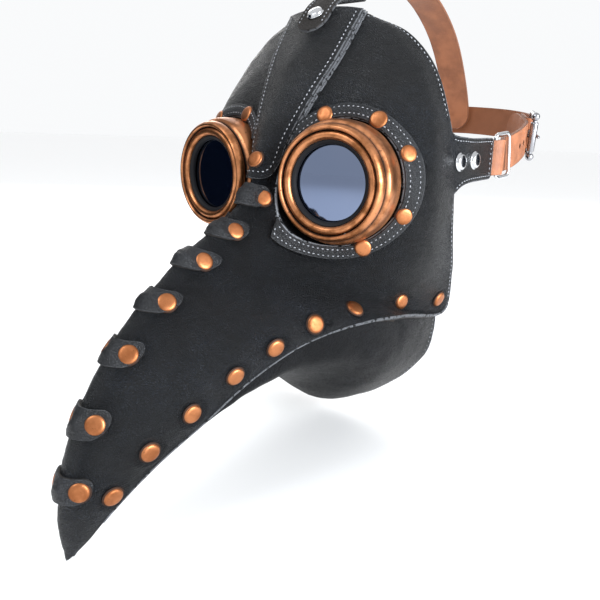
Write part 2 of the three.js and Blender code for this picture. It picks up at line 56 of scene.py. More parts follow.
def makeCamera():
    data = bpy.data.cameras.new("camera")
    data.lens = camera["lens"]
    data.sensor_width = camera["sensor"]
    right = Vector(camera["right"]).normalized()
    back = right.cross(Vector(camera["up"])).normalized()
    up = back.cross(right)
    seat = bpy.data.objects.new("camera", data)
    turn = Matrix((right, up, back)).transposed().to_4x4()
    seat.matrix_world = Matrix.Translation(Vector(camera["place"]) * mm) @ turn
    bpy.context.scene.collection.objects.link(seat)
    bpy.context.scene.camera = seat


makeCamera()
print("camera placed")

# ---------- shaders ----------


class Wire:
    # a shader value that can be used in sums
    def __init__(self, tree, socket):
        self.tree = tree
        self.socket = socket

    def sum(self, operation, first, second):
        node = self.tree.nodes.new("ShaderNodeMath")
        node.operation = operation
        for slot, value in zip(node.inputs, (first, second)):
            if isinstance(value, Wire):
                self.tree.links.new(value.socket, slot)
            else:
                slot.default_value = value
        return Wire(self.tree, node.outputs[0])

    def __add__(self, other):
        return self.sum("ADD", self, other)

    def __radd__(self, other):
        return self.sum("ADD", other, self)

    def __sub__(self, other):
        return self.sum("SUBTRACT", self, other)

    def __rsub__(self, other):
        return self.sum("SUBTRACT", other, self)

    def __mul__(self, other):
        return self.sum("MULTIPLY", self, other)

    def __rmul__(self, other):
        return self.sum("MULTIPLY", other, self)


class Finish:
    # a material and the nodes in it
    def __init__(self, name):
        self.material = bpy.data.materials.new(name)
        self.material.use_nodes = True
        self.tree = self.material.node_tree
        self.surface = self.tree.nodes["Principled BSDF"]

    def node(self, kind, settings, inputs, output=0):
        node = self.tree.nodes.new(kind)
        for key, value in settings.items():
            setattr(node, key, value)
        for key, value in inputs.items():
            self.plug(node.inputs[key], value)
        return Wire(self.tree, node.outputs[output])

    def plug(self, slot, value):
        if isinstance(value, Wire):
            self.tree.links.new(value.socket, slot)
        elif slot.type == "RGBA" and len(value) == 3:
            slot.default_value = (*value, 1)
        else:
            slot.default_value = value

    def set(self, **inputs):
        names = {"base": "Base Color", "rough": "Roughness", "metal": "Metallic", "normal": "Normal",
                 "specular": "Specular IOR Level"}
        for key, value in inputs.items():
            self.plug(self.surface.inputs[names[key]], value)

    def place(self):
        return self.node("ShaderNodeTexCoord", {}, {}, "Object")

    def mark(self, name):
        return self.node("ShaderNodeAttribute", {"attribute_name": name}, {}, "Fac")

    def speckle(self, place, scale, detail=4.0, roughness=0.55, distortion=0.0):
        values = {"Vector": place, "Scale": scale, "Detail": detail, "Roughness": roughness,
                  "Distortion": distortion}
        return self.node("ShaderNodeTexNoise", {}, values)

    def cracks(self, place, scale):
        values = {"Vector": place, "Scale": scale}
        return self.node("ShaderNodeTexVoronoi", {"feature": "DISTANCE_TO_EDGE"}, values, "Distance")

    def shifted(self, place, scale, amount):
        # the place pushed about by a soft noise, so that no pattern runs straight
        colour = self.node("ShaderNodeTexNoise", {}, {"Vector": place, "Scale": scale, "Detail": 3.0}, "Color")
        scaled = self.node("ShaderNodeVectorMath", {"operation": "SCALE"}, {0: colour, "Scale": amount})
        return self.node("ShaderNodeVectorMath", {"operation": "ADD"}, {0: place, 1: scaled})

    def window(self, value, low, high):
        # 0 below low, 1 above high, smooth between
        settings = {"interpolation_type": "SMOOTHSTEP"}
        return self.node("ShaderNodeMapRange", settings, {"Value": value, "From Min": low, "From Max": high})

    def mixed(self, share, first, second):
        return self.node("ShaderNodeMix", {"data_type": "RGBA"}, {0: share, 6: first, 7: second}, 2)

    def bump(self, height, strength, distance):
        return self.node("ShaderNodeBump", {}, {"Height": height, "Strength": strength, "Distance": distance})


faceLeatherLook = {
    "dark": (0.0042, 0.0048, 0.006),
    # the pale colour: rubbed wear on the grain's high spots, and a painted bluish sheen
    "wearAndSheen": (0.02, 0.024, 0.032),
    "edge": (0.21, 0.22, 0.24),
    "flesh": (0.034, 0.029, 0.026),
    "grainScale": 980.0,
    "pebbleScale": 1500.0,
    "sheenPatchScale": 24.0,
    "wearAndSheenShare": 1.0,
    "bump": 1.0,
    "depth": 0.0024,
    "rough": 0.34,
    "specular": 0.32,
}
# a darker copy of the face leather: painted shade for the underside, used on the chin panel, the beak tip and the
# goggle sleeves
shadedChinLeatherLook = dict(
    faceLeatherLook, dark=(0.0028, 0.003, 0.0036), wearAndSheen=(0.014, 0.015, 0.018), grainScale=700.0,
    pebbleScale=1000.0, wearAndSheenShare=0.55, bump=0.45, depth=0.0005, rough=0.4, specular=0.09,
)
bandLeatherLook = dict(
    faceLeatherLook, wearAndSheen=(0.024, 0.027, 0.034), edge=(0.03, 0.032, 0.036), wearAndSheenShare=0.7, bump=0.6,
    depth=0.0007, rough=0.36,
)


def blackLeather(name, look):
    finish = Finish(name)
    place = finish.place()
    bent = finish.shifted(place, 160.0, 0.0025)
    cells = finish.window(finish.cracks(bent, look["grainScale"]), 0.0, 0.16)
    pebbles = finish.speckle(bent, look["pebbleScale"], 5.0, 0.7)
    folds = finish.speckle(place, 62.0, 6.0, 0.62, 0.7)
    sheenPatches = finish.window(finish.speckle(place, look["sheenPatchScale"], 3.0, 0.6), 0.36, 0.66)
    height = pebbles * 0.9 + cells * 0.45 + folds * 0.9
    # the grain's high spots are rubbed pale, more in some patches than in others; the pale patches also paint in a
    # bluish sheen of light on the leather
    proud = finish.window(pebbles + cells * 0.2 + folds * 0.3, 0.72, 0.96)
    wearAndSheen = proud * (0.2 + 0.8 * sheenPatches) * look["wearAndSheenShare"]
    base = finish.mixed(wearAndSheen, look["dark"], look["wearAndSheen"])
    edge = finish.mark("edge")
    rubbed = edge * finish.window(finish.speckle(place, 480.0, 3.0), 0.3, 0.52)
    base = finish.mixed(finish.window(rubbed, 0.25, 0.8), base, look["edge"])
    flesh = finish.mark("flesh")
    base = finish.mixed(flesh, base, look["flesh"])
    rough = look["rough"] + 0.16 * (1 - cells) - 0.1 * wearAndSheen + 0.4 * flesh + 0.12 * edge
    finish.set(base=base, rough=rough, normal=finish.bump(height, look["bump"], look["depth"]),
               specular=look["specular"])
    return finish.material


copperLook = {
    "bright": (0.56, 0.235, 0.105),
    "deep": (0.2, 0.075, 0.027),
    # the dark colour: patina and dark specks, and painted shade in the grooves
    "grimeAndShade": (0.014, 0.007, 0.004),
    "rough": 0.3,
}
rivetLook = {
    "bright": (0.44, 0.17, 0.07),
    "deep": (0.25, 0.088, 0.033),
    # the dark colour paints the shade round each rivet's head
    "grimeAndShade": (0.03, 0.012, 0.006),
    "rough": 0.36,
}


def antiqueCopper(name, look):
    finish = Finish(name)
    place = finish.place()
    cloud = finish.window(finish.speckle(place, 95.0, 5.0, 0.6), 0.38, 0.66)
    pits = finish.window(finish.speckle(place, 900.0, 2.0), 0.66, 0.74)
    groove = finish.mark("groove")
    base = finish.mixed(cloud, look["bright"], look["deep"])
    # the grooves are darkened: patina, and painted shade in the hollows; the pits are dark specks
    base = finish.mixed(finish.window(groove + pits * 0.7, 0.25, 1.0), base, look["grimeAndShade"])
    rough = look["rough"] + 0.14 * cloud + 0.3 * groove
    height = finish.speckle(place, 520.0, 4.0) * 0.6 - pits * 0.5 + finish.speckle(place, 150.0, 2.0)
    finish.set(base=base, rough=rough, metal=1 - 0.55 * groove, normal=finish.bump(height, 0.25, 0.0004))
    return finish.material


tanLook = {"light": (0.36, 0.13, 0.055), "dark": (0.23, 0.078, 0.03), "edge": (0.09, 0.03, 0.012)}


def tanLeather(name):
    finish = Finish(name)
    place = finish.place()
    cloud = finish.window(finish.speckle(place, 70.0, 5.0, 0.6), 0.35, 0.68)
    fibre = finish.speckle(finish.shifted(place, 200.0, 0.003), 900.0, 4.0, 0.6)
    pores = finish.window(finish.cracks(place, 1300.0), 0.0, 0.2)
    base = finish.mixed(cloud, tanLook["light"], tanLook["dark"])
    base = finish.mixed(finish.mark("edge") * 0.85, base, tanLook["edge"])
    base = finish.mixed(finish.mark("flesh") * 0.7, base, tanLook["dark"])
    rough = 0.5 + 0.15 * fibre - 0.08 * cloud
    finish.set(base=base, rough=rough, normal=finish.bump(fibre + pores * 0.4, 0.35, 0.0003))
    return finish.material


def plainMetal(name, colour, rough):
    finish = Finish(name)
    place = finish.place()
    smear = finish.speckle(place, 260.0, 4.0, 0.6)
    finish.set(base=finish.mixed(smear, colour, tuple(0.8 * c for c in colour)), rough=rough + 0.14 * smear,
               metal=1.0, normal=finish.bump(finish.speckle(place, 700.0, 3.0), 0.12, 0.0002))
    return finish.material


def rubber(name):
    finish = Finish(name)
    grain = finish.speckle(finish.place(), 1500.0, 3.0)
    finish.set(base=finish.mixed(grain, (0.006, 0.006, 0.007), (0.014, 0.014, 0.016)), rough=0.42 + 0.2 * grain,
               normal=finish.bump(grain, 0.2, 0.0002), specular=0.12)
    return finish.material


def darkGlass(name):
    finish = Finish(name)
    film = finish.speckle(finish.place(), 24.0, 2.0)
    base = finish.mixed(film, (0.15, 0.19, 0.29), (0.18, 0.215, 0.31))
    finish.set(base=base, rough=0.05 + 0.04 * film, metal=1.0)
    return finish.material


def thread(name):
    finish = Finish(name)
    twist = finish.speckle(finish.place(), 2200.0, 2.0)
    finish.set(base=finish.mixed(twist, (0.42, 0.43, 0.46), (0.16, 0.17, 0.19)), rough=0.75 + 0.1 * twist,
               normal=finish.bump(twist, 0.5, 0.0002))
    return finish.material


looks = {
    "face": blackLeather("blackFaceLeather", faceLeatherLook),
    "chin": blackLeather("blackLeatherInShade", shadedChinLeatherLook),
    "band": blackLeather("blackBandLeather", bandLeatherLook),
    "copper": antiqueCopper("antiqueCopper", copperLook),
    "rivet": antiqueCopper("rivetCopper", rivetLook),
    "tan": tanLeather("tanLeather"),
    "chrome": plainMetal("polishedChrome", (0.62, 0.63, 0.65), 0.1),
    "steel": plainMetal("nickelSteel", (0.36, 0.36, 0.38), 0.2),
    "black": plainMetal("blackenedSteel", (0.05, 0.045, 0.04), 0.4),
    "rubber": rubber("blackRubber"),
    "glass": darkGlass("darkMirrorGlass"),
    "thread": thread("greyThread"),
}
print("finishes mixed")

# ---------- surfaces of the mask ----------

rowBack = (0.1, 0.3, 0.6)
# rows down the face leather: centre line y, z; outer edge x, y, z; half widths at three steps back
faceRows = np.array([
    [-15.5, 86.5, 28.5, -11, 82.5, 11, 19, 25],
    [-24, 76, 47, -7, 74, 14, 27.5, 41],
    [-35.5, 60.5, 61, -3, 58, 18, 40, 56],
    [-48.5, 40.5, 70, -2, 36, 21, 53.5, 66.7],
    [-60, 22, 73, 5, 12, 16.5, 60.3, 71.8],
    [-69, 6, 73, 8, -8, 8, 61, 74],
    [-80, -11, 73, 12, -30, 7, 48, 72],
    [-97, -23, 72, 18, -50, 9, 30, 68],
    [-115, -32, 68, 21, -74, 10, 28, 57],
    [-132, -44, 67, -25, -67, 10, 27, 50],
    [-147, -57, 60, -56, -66, 10, 24, 43],
    [-160, -71, 46, -84, -73, 10, 21, 35],
    [-171, -86, 34, -108, -87, 9, 18, 28],
    [-179, -101, 26.3, -129.4, -102.3, 8, 15, 22],
    [-185, -118, 16.9, -150.7, -118.8, 6.5, 11, 15],
    [-188, -135, 9.6, -169.7, -135.8, 4.3, 7, 9],
    [-187, -154, 2.4, -185.5, -154.6, 1, 1.5, 2],
])
# rows down the chin panel, from the jaw corner: bottom y, z; flank x, y, z; belly x, y, z
chinRows = np.array([
    [20, -146, 56, 28, -104, 30, 26, -133],
    [-12, -137, 57, -20, -98, 31, -15, -125],
    [-40, -117, 50, -53, -88, 27, -43, -108],
    [-68, -104, 39, -79, -87, 22, -71, -99],
    [-95, -103, 30, -104, -95, 17, -97, -101],
    [-119, -111, 21, -127, -107, 12, -121, -110],
    [-142, -125, 12, -149, -120, 7, -144, -124],
    [-166, -138, 6, -169, -135, 3.5, -167, -137.5],
])
skin = {
    "leather": 2.4, "faceEnd": 16.0, "roundFrom": 15.45, "tipThinning": 0.72,
    "chinStart": 8.0, "chinEnd": 14.75, "chinLast": 14.9, "chinLap": 0.09, "chinClearance": 1.25,
}


def stacked(*parts):
    return np.stack(np.broadcast_arrays(*[np.asarray(p, float) for p in parts]), -1)


def unit(vectors):
    return vectors / np.maximum(np.linalg.norm(vectors, axis=-1, keepdims=True), 1e-9)


def between(rows, place):
    last = len(rows) - 1
    t = np.clip(np.asarray(place, float), 0, last)
    i = np.minimum(t.astype(int), last - 1)
    f = (t - i)[..., None]
    p1 = rows[i]
    p2 = rows[i + 1]
    p0 = np.where((i > 0)[..., None], rows[np.maximum(i - 1, 0)], 2 * p1 - p2)
    p3 = np.where((i + 2 <= last)[..., None], rows[np.minimum(i + 2, last)], 2 * p2 - p1)
    quadratic = 2 * p0 - 5 * p1 + 4 * p2 - p3
    cubic = 3 * p1 - p0 - 3 * p2 + p3
    return 0.5 * (2 * p1 + (p2 - p0) * f + quadratic * f ** 2 + cubic * f ** 3)


# A smooth curve through points (..., count, 3), at a share 0..1 of it.
def alongCurve(points, share):
    count = points.shape[-2]
    t = np.clip(np.asarray(share, float), 0, 1) * (count - 1)
    i = np.minimum(t.astype(int), count - 2)
    w = (t - i)[..., None]

    def pick(k):
        index = np.broadcast_to(k[..., None, None], (*k.shape, 1, 3))
        return np.take_along_axis(points, index, axis=-2)[..., 0, :]

    p1 = pick(i)
    p2 = pick(i + 1)
    p0 = np.where((i > 0)[..., None], pick(np.maximum(i - 1, 0)), 2 * p1 - p2)
    p3 = np.where((i + 2 < count)[..., None], pick(np.minimum(i + 2, count - 1)), 2 * p2 - p1)
    d0, d1, d2 = (np.maximum(np.sum((a - b) ** 2, -1, keepdims=True) ** 0.25, 1e-4)
                  for a, b in ((p0, p1), (p1, p2), (p2, p3)))
    m1 = ((p1 - p0) / d0 - (p2 - p0) / (d0 + d1) + (p2 - p1) / d1) * d1
    m2 = ((p2 - p1) / d1 - (p3 - p1) / (d1 + d2) + (p3 - p2) / d2) * d1
    return (p1 * (2 * w ** 3 - 3 * w * w + 1) + m1 * (w ** 3 - 2 * w * w + w)
            + p2 * (3 * w * w - 2 * w ** 3) + m2 * (w ** 3 - w * w))


def acrossCurve(middle, half, side):
    mirror = np.array([-1.0, 1.0, 1.0])
    points = np.stack([p * mirror for p in half[::-1]] + [middle] + half, -2)
    return alongCurve(points, 0.5 + 0.5 * side)


# The outside of the face leather: place runs down the rows, side from -1 to 1 across.
def face(place, side):
    place, side = np.broadcast_arrays(np.asarray(place, float), np.asarray(side, float))
    ry, rz, ex, ey, ez, *widths = np.moveaxis(between(faceRows, place), -1, 0)
    half = [stacked(x, ry + back * (ey - ry), rz + back * (ez - rz)) for x, back in zip(widths, rowBack)]
    return acrossCurve(stacked(0 * ry, ry, rz), [*half, stacked(ex, ey, ez)], side)


def normals(surface, place, side):
    step = 0.004
    side = np.clip(side, -1, 1)
    down = surface(place + step, side) - surface(place - step, side)
    across = surface(place, np.minimum(side + step, 1)) - surface(place, np.maximum(side - step, -1))
    return unit(np.cross(down, across))


def raised(surface, place, side, height):
    place, side = np.broadcast_arrays(np.asarray(place, float), np.asarray(side, float))
    return surface(place, side) + normals(surface, place, side) * np.asarray(height)[..., None]


def chin(place, side):
    place, side = np.broadcast_arrays(np.asarray(place, float), np.asarray(side, float))
    row = np.clip(place, skin["chinStart"], skin["chinLast"])
    by, bz, fx, fy, fz, mx, my, mz = np.moveaxis(between(chinRows, row - skin["chinStart"]), -1, 0)
    inside = -(skin["leather"] + skin["chinClearance"])
    lapped = raised(face, row, 1 - skin["chinLap"], inside)
    seam = raised(face, row, 0.98, inside)
    half = [stacked(mx, my, mz), stacked(fx, fy, fz), seam, lapped]
    return acrossCurve(stacked(0 * by, by, bz), half, side)


# ---------- mesh makers ----------


def addPiece(name, points, faces, look, body="root", marks=None, replaced=(), bevel=0.0, bevelAngle=50.0):
    # only the points in use are kept
    used = np.unique(np.concatenate([np.asarray(f).ravel() for f in faces]))
    renumber = np.zeros(len(points), int)
    renumber[used] = np.arange(len(used))
    corners = [tuple(renumber[list(row)]) for block in faces for row in block]
    mesh = bpy.data.meshes.new(name)
    mesh.from_pydata((np.asarray(points)[used] * mm).tolist(), [], [tuple(map(int, c)) for c in corners])
    for key, values in (marks or {}).items():
        mark = mesh.attributes.new(key, "FLOAT", "POINT")
        mark.data.foreach_set("value", np.asarray(values, np.float32)[used])
    mesh.polygons.foreach_set("use_smooth", [True] * len(mesh.polygons))
    mesh.update()
    piece = bpy.data.objects.new(name, mesh)
    bpy.context.scene.collection.objects.link(piece)
    mesh.materials.append(looks[look])
    if bevel:
        rounded = piece.modifiers.new("roundedEdges", "BEVEL")
        rounded.width = bevel * mm
        rounded.segments = 3
        rounded.limit_method = "ANGLE"
        rounded.angle_limit = math.radians(bevelAngle)
    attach(piece, body)
    if replaced:
        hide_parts(*replaced)
    return piece


def turnedOut(points, faces):
    # faces in an order that points them out
    volume = 0.0
    for block in faces:
        corner = [points[block[:, k]] for k in range(block.shape[1])]
        for k in range(1, block.shape[1] - 1):
            volume += np.einsum("ij,ij->", corner[0], np.cross(corner[k], corner[k + 1]))
    return faces if volume > 0 else [block[:, ::-1] for block in faces]


# A closed sheet between two grids of points. keep says which cells are there.
def addSheet(name, outer, inner, look, keep=None, fleshIn=True, bevel=0.7, **rest):
    rows, columns = outer.shape[:2]
    count = rows * columns
    keep = np.ones((rows - 1, columns - 1), bool) if keep is None else keep
    index = np.arange(count).reshape(rows, columns)
    a, b, c, d = index[:-1, :-1], index[:-1, 1:], index[1:, 1:], index[1:, :-1]
    cells = np.stack([a, b, c, d], -1)[keep]
    faces = [cells, cells[:, ::-1] + count]
    padded = np.pad(keep, 1)
    edge = np.zeros(2 * count)
    for near, p, q in ((padded[:-2, 1:-1], a, b), (padded[1:-1, 2:], b, c),
                       (padded[2:, 1:-1], c, d), (padded[1:-1, :-2], d, a)):
        bare = keep & ~near
        wall = np.stack([q[bare], p[bare], p[bare] + count, q[bare] + count], -1)
        faces.append(wall)
        edge[wall.ravel()] = 1
    points = np.concatenate([outer.reshape(-1, 3), inner.reshape(-1, 3)])
    marks = {"edge": edge, "flesh": np.repeat([0.0, 1.0 if fleshIn else 0.0], count)}
    return addPiece(name, points, turnedOut(points, faces), look, marks=marks, bevel=bevel, **rest)


def axisFrame(axis):
    # two unit vectors square to an axis
    axis = unit(np.asarray(axis, float))
    start = np.array([0, 0, 1.0]) if abs(axis[2]) < 0.9 else np.array([1.0, 0, 0])
    first = unit(np.cross(start, axis))
    return first, np.cross(axis, first), axis


# Turns a closed profile of (radius, distance along the axis) about an axis through a centre.
def addTurned(name, profile, centre, axis, look, steps=96, grooves=None, **rest):
    first, second, along = axisFrame(axis)
    profile = np.asarray(profile, float)
    angles = np.arange(steps) * 2 * math.pi / steps
    ring = np.cos(angles)[:, None] * first + np.sin(angles)[:, None] * second
    points = np.asarray(centre) + profile[None, :, 0, None] * ring[:, None] + profile[None, :, 1, None] * along
    count = len(profile)
    index = np.arange(steps * count).reshape(steps, count)
    after = np.roll(index, -1, 0)
    faces = np.stack([index, after, np.roll(after, -1, 1), np.roll(index, -1, 1)], -1)
    keep = np.ones(count, bool)
    if profile[0, 0] == 0:
        # the profile starts and ends on the axis: two fans close it
        keep[[0, count - 2, count - 1]] = False
        faces = faces[:, keep].reshape(-1, 4)
        fans = [np.stack([index[0, 0] + 0 * index[:, 0], after[:, 1], index[:, 1]], -1),
                np.stack([index[0, -1] + 0 * index[:, 0], index[:, -2], after[:, -2]], -1)]
    else:
        faces = faces.reshape(-1, 4)
        fans = []
    points = points.reshape(-1, 3)
    marks = {"groove": np.tile(np.zeros(count) if grooves is None else np.asarray(grooves, float), steps)}
    return addPiece(name, points, turnedOut(points, [faces, *fans]), look, marks=marks, **rest)


def ringQuads(index, closed=False):
    # four-sided faces between rings of points; index[i, j] is point j of ring i
    here = index if closed else index[:-1]
    ahead = np.roll(index, -1, 0) if closed else index[1:]
    return np.stack([here, np.roll(here, -1, 1), np.roll(ahead, -1, 1), ahead], -1).reshape(-1, 4)


# A round tube along a ring or line of points, with a radius at each.
def tubeParts(line, radius, sidesRound=14, closed=False):
    line = np.asarray(line, float)
    count = len(line)
    radius = np.broadcast_to(np.asarray(radius, float), (count,))
    if closed:
        tangent = unit(np.roll(line, -1, 0) - np.roll(line, 1, 0))
    else:
        tangent = unit(np.gradient(line, axis=0))
    first = np.zeros((count, 3))
    first[0] = axisFrame(tangent[0])[0]
    for i in range(1, count):
        first[i] = unit(first[i - 1] - tangent[i] * (first[i - 1] @ tangent[i]))
    if closed:
        # the turn left over at the join is spread round the ring
        last = unit(first[-1] - tangent[0] * (first[-1] @ tangent[0]))
        left = math.atan2(np.cross(last, first[0]) @ tangent[0], last @ first[0])
        turn = left * np.arange(count) / count
        second = np.cross(tangent, first)
        first = first * np.cos(turn)[:, None] + second * np.sin(turn)[:, None]
    second = np.cross(tangent, first)
    angles = np.arange(sidesRound) * 2 * math.pi / sidesRound
    ring = np.cos(angles)[None, :, None] * first[:, None] + np.sin(angles)[None, :, None] * second[:, None]
    points = line[:, None] + radius[:, None, None] * ring
    index = np.arange(count * sidesRound).reshape(count, sidesRound)
    faces = [ringQuads(index, closed)]
    points = points.reshape(-1, 3)
    if not closed:
        # a fan of triangles shuts each end
        points = np.concatenate([points, line[[0, -1]]])
        low, high = len(points) - 2, len(points) - 1
        faces.append(np.stack([index[0] * 0 + low, np.roll(index[0], -1), index[0]], -1))
        faces.append(np.stack([index[-1] * 0 + high, index[-1], np.roll(index[-1], -1)], -1))
    return points, turnedOut(points, faces)


def joined(parts):
    points = []
    blocks = {}
    total = 0
    for partPoints, partFaces in parts:
        points.append(partPoints)
        for block in partFaces:
            blocks.setdefault(block.shape[1], []).append(block + total)
        total += len(partPoints)
    return np.concatenate(points), [np.concatenate(b) for b in blocks.values()]


def distances(line):
    return np.concatenate([[0], np.cumsum(np.linalg.norm(np.diff(line, axis=0), axis=1))])


def pointsAt(at, reach, line):
    return np.stack([np.interp(at, reach, line[:, k]) for k in range(3)], -1)


# Evenly spaced places along a line of points, with the surface's normal carried along.
def spaced(line, facing, spacing):
    line = np.asarray(line, float)
    reach = distances(line)
    count = max(int(reach[-1] / spacing), 1)
    at = (np.arange(count) + 0.5) * reach[-1] / count
    tangents = unit(pointsAt(at + 0.3, reach, line) - pointsAt(at - 0.3, reach, line))
    return pointsAt(at, reach, line), tangents, unit(pointsAt(at, reach, np.asarray(facing, float)))


stitch = {
    "length": 1.35, "spacing": 2.5, "radius": 0.31, "sides": 6, "sink": 0.5, "skew": 0.16, "sizes": (0.88, 1.1),
    "rings": [(-0.5, 0.15), (-0.38, 0.8), (0.0, 1.0), (0.38, 0.8), (0.5, 0.15)],
}


def stitchParts(line, facing, spacing=stitch["spacing"]):
    places, tangents, outs = spaced(line, facing, spacing)
    rings = stitch["rings"]
    turns = np.arange(stitch["sides"]) * 2 * math.pi / stitch["sides"]
    parts = []
    for place, tangent, out in zip(places, tangents, outs):
        out = unit(out - tangent * (out @ tangent))
        skew = random.uniform(-stitch["skew"], stitch["skew"])
        tangent = unit(tangent + np.cross(tangent, out) * skew)
        across = np.cross(tangent, out)
        size = random.uniform(*stitch["sizes"])
        middles = np.array([place + tangent * t * stitch["length"] * size - out * stitch["sink"] * abs(t)
                            for t, _ in rings])
        ring = np.cos(turns)[:, None] * across + np.sin(turns)[:, None] * out
        radii = np.array([r for _, r in rings]) * stitch["radius"] * size
        points = (middles[:, None] + radii[:, None, None] * ring[None]).reshape(-1, 3)
        index = np.arange(len(points)).reshape(len(rings), stitch["sides"])
        caps = [index[0][None, ::-1], index[-1][None]]
        parts.append((points, turnedOut(points, [ringQuads(index), *caps])))
    return parts


def addThread(name, parts):
    points, faces = joined(parts)
    addPiece(name, points, faces, "thread")


# ---------- rivets ----------

rivet = {"radius": 4.3, "height": 1.45, "steps": 36, "tilt": 0.05}
# share of the radius and of the height; a dark ring lies round the head, painted shade between rivet and leather
rivetProfile = [
    (0, 1.0), (0.3, 0.99), (0.58, 0.95), (0.78, 0.86), (0.9, 0.7), (0.97, 0.46), (0.99, 0.16), (1.13, 0.08),
    (1.17, -0.12), (0, -0.12),
]
rivetShadeRing = [0, 0, 0, 0, 0, 0.1, 0.9, 1.0, 1.0, 1.0]


def addRivet(name, point, normal, look="rivet", radius=rivet["radius"], height=rivet["height"], replaced=()):
    # no rivet sits quite straight
    tilt = np.array([random.uniform(-rivet["tilt"], rivet["tilt"]) for _ in range(3)])
    profile = [(r * radius, z * height) for r, z in rivetProfile]
    axis = unit(np.asarray(normal) + tilt)
    return addTurned(name, profile, point, axis, look, rivet["steps"], rivetShadeRing, replaced=replaced)


# seam rivets from the jaw to the beak's end: place and side on the face
seamRivets = [
    (7.7, 0.95), (8.05, 0.82), (8.9, 0.8), (10, 0.83), (11, 0.87), (11.75, 0.85), (12.65, 0.82),
    (13.5, 0.77), (14.5, 0.77),
]
ridgeBands = [
    {"place": 7.0, "half": 0.36, "wrap": 0.25, "rivet": 0.16},
    {"place": 8.2, "half": 0.33, "wrap": 0.24, "rivet": 0.15},
    {"place": 9.5, "half": 0.34, "wrap": 0.25, "rivet": 0.16},
    {"place": 10.9, "half": 0.36, "wrap": 0.25, "rivet": 0.15},
    {"place": 12.6, "half": 0.42, "wrap": 0.3, "rivet": 0.18},
    {"place": 14.15, "half": 0.34, "wrap": 0.42, "rivet": 0.27},
]
noseBand = {"place": 5.8, "half": 0.34, "wrap": 0.27, "rivet": 0.21}


def onFace(place, side, height=0.0):
    # points at a height over the face leather, and which way it faces there
    place, side = np.asarray(place, float), np.asarray(side, float)
    return raised(face, place, side, height), normals(face, place, side)


# ---------- goggle frame ----------

goggle = {
    "centre": (39.9, -65.0, 0.0), "splay": 8.8, "hole": 30.9, "flangeIn": 31.0, "flangeOut": 37.2, "noseX": 14.5,
    # profiles: radius, distance ahead of the face along the goggle's axis; how dark each point's groove is, patina
    # with painted shade in the hollows
    "collar": [(26.5, -20), (30, -20), (30.2, -16.5), (30.4, -13.4), (30.3, -11), (30, -8.9), (29.5, -7.3),
               (28.4, -6.3), (27.4, -5.9), (26.5, -5.9)],
    "collarGroove": [1, 0.5, 0.35, 0.1, 0, 0, 0.1, 0.5, 1, 1],
    "rim": [(24.9, -9), (26.2, -9), (26.2, -5.5), (27.3, -5.1), (28, -4.4), (28.1, -3.4), (27.8, -2.1),
            (27.2, -1), (26.4, -0.35), (25.6, -0.4), (25.1, -1), (24.9, -2.2)],
    "rimGroove": [1, 1, 1, 0.8, 0.2, 0, 0, 0, 0, 0.1, 0.6, 1],
    "bezel": [(20.9, -9), (24.8, -9), (24.8, -5.2), (24.3, -4.6), (24.5, -2.6), (24.3, -1.8), (23.6, -1.1),
              (22.6, -0.8), (21.5, -1.1), (20.7, -1.9), (20.5, -2.9), (20.8, -4)],
    "bezelGroove": [1, 1, 1, 1, 0.7, 0.1, 0, 0, 0, 0.1, 0.6, 1],
    "gasket": [(18.3, -5.1), (20.7, -5.1), (20.7, -2.9), (20.0, -2.6), (18.7, -3.3), (18.3, -4)],
    "retainer": [(18.4, -11), (20.6, -11), (20.6, -8.3), (18.4, -8.3)],
    "lens": [(0, -4.2), (6, -4.35), (12, -4.75), (16, -5.2), (18.2, -5.45), (20.4, -5.9), (20.5, -8), (0, -8)],
}


def goggleFrame(sign):
    splay = math.radians(goggle["splay"])
    axis = np.array([sign * math.sin(splay), -math.cos(splay), 0.0])
    centre = np.array(goggle["centre"]) * [sign, 1, 1]
    across = np.array([math.cos(splay), sign * math.sin(splay), 0.0])
    return centre, axis, across, np.array([0, 0, 1.0])


def cross(first, second):
    return first[..., 0] * second[..., 1] - first[..., 1] * second[..., 0]


# The place and side on the face of points given by their distance across and up from the goggle's axis.
def underGoggle(sign, wantedAcross, wantedUp):
    centre, _, across, up = goggleFrame(sign)
    wanted = np.stack([wantedAcross, wantedUp], -1)

    def flat(place, side):
        away = face(place, side) - centre
        return np.stack([away @ across, away @ up], -1)

    gridPlace, gridSide = np.meshgrid(np.linspace(2, 8.4, 60), sign * np.linspace(0.02, 0.97, 60), indexing="ij")
    known = flat(gridPlace, gridSide).reshape(-1, 2)
    nearest = np.array([np.argmin(np.sum((known - w) ** 2, -1)) for w in wanted.reshape(-1, 2)])
    place = gridPlace.ravel()[nearest].reshape(wanted.shape[:-1])
    side = gridSide.ravel()[nearest].reshape(wanted.shape[:-1])
    step = 1e-3
    for _ in range(8):
        here = flat(place, side)
        byPlace = (flat(place + step, side) - here) / step
        bySide = (flat(place, side + step) - here) / step
        short = wanted - here
        spread = cross(byPlace, bySide)
        spread = np.where(np.abs(spread) < 1e-6, 1e-6, spread)
        place = place + np.clip(cross(short, bySide) / spread, -0.2, 0.2)
        side = np.clip(side + np.clip(cross(byPlace, short) / spread, -0.1, 0.1), -0.99, 0.99)
    return place, side


# ---------- face leather ----------

tab = {
    "path": [(71.4, -8, 11), (73.2, 5, 11), (75, 25, 12), (76, 50, 13)],
    "firstPlace": 3.38, "lastPlace": 4.92, "endHalf": 11.6, "columns": 30, "rootShare": 1 / 3,
}
faceGrid = {"rows": 250, "columns": 170}
relief = {
    "wave": 0.34, "crease": 0.16,
    "spine": 0.9, "spineHalf": 6.5, "spineStart": (5.6, 6.4), "spineEnd": (13.9, 14.6),
    "dimple": 0.75, "dimpleRadius": 5.6, "swell": 0.3, "swellRadius": 7.0, "swellWidth": 1.4,
}


def mirrored(path, sign):
    return np.asarray(path, float) * [sign, 1, 1]


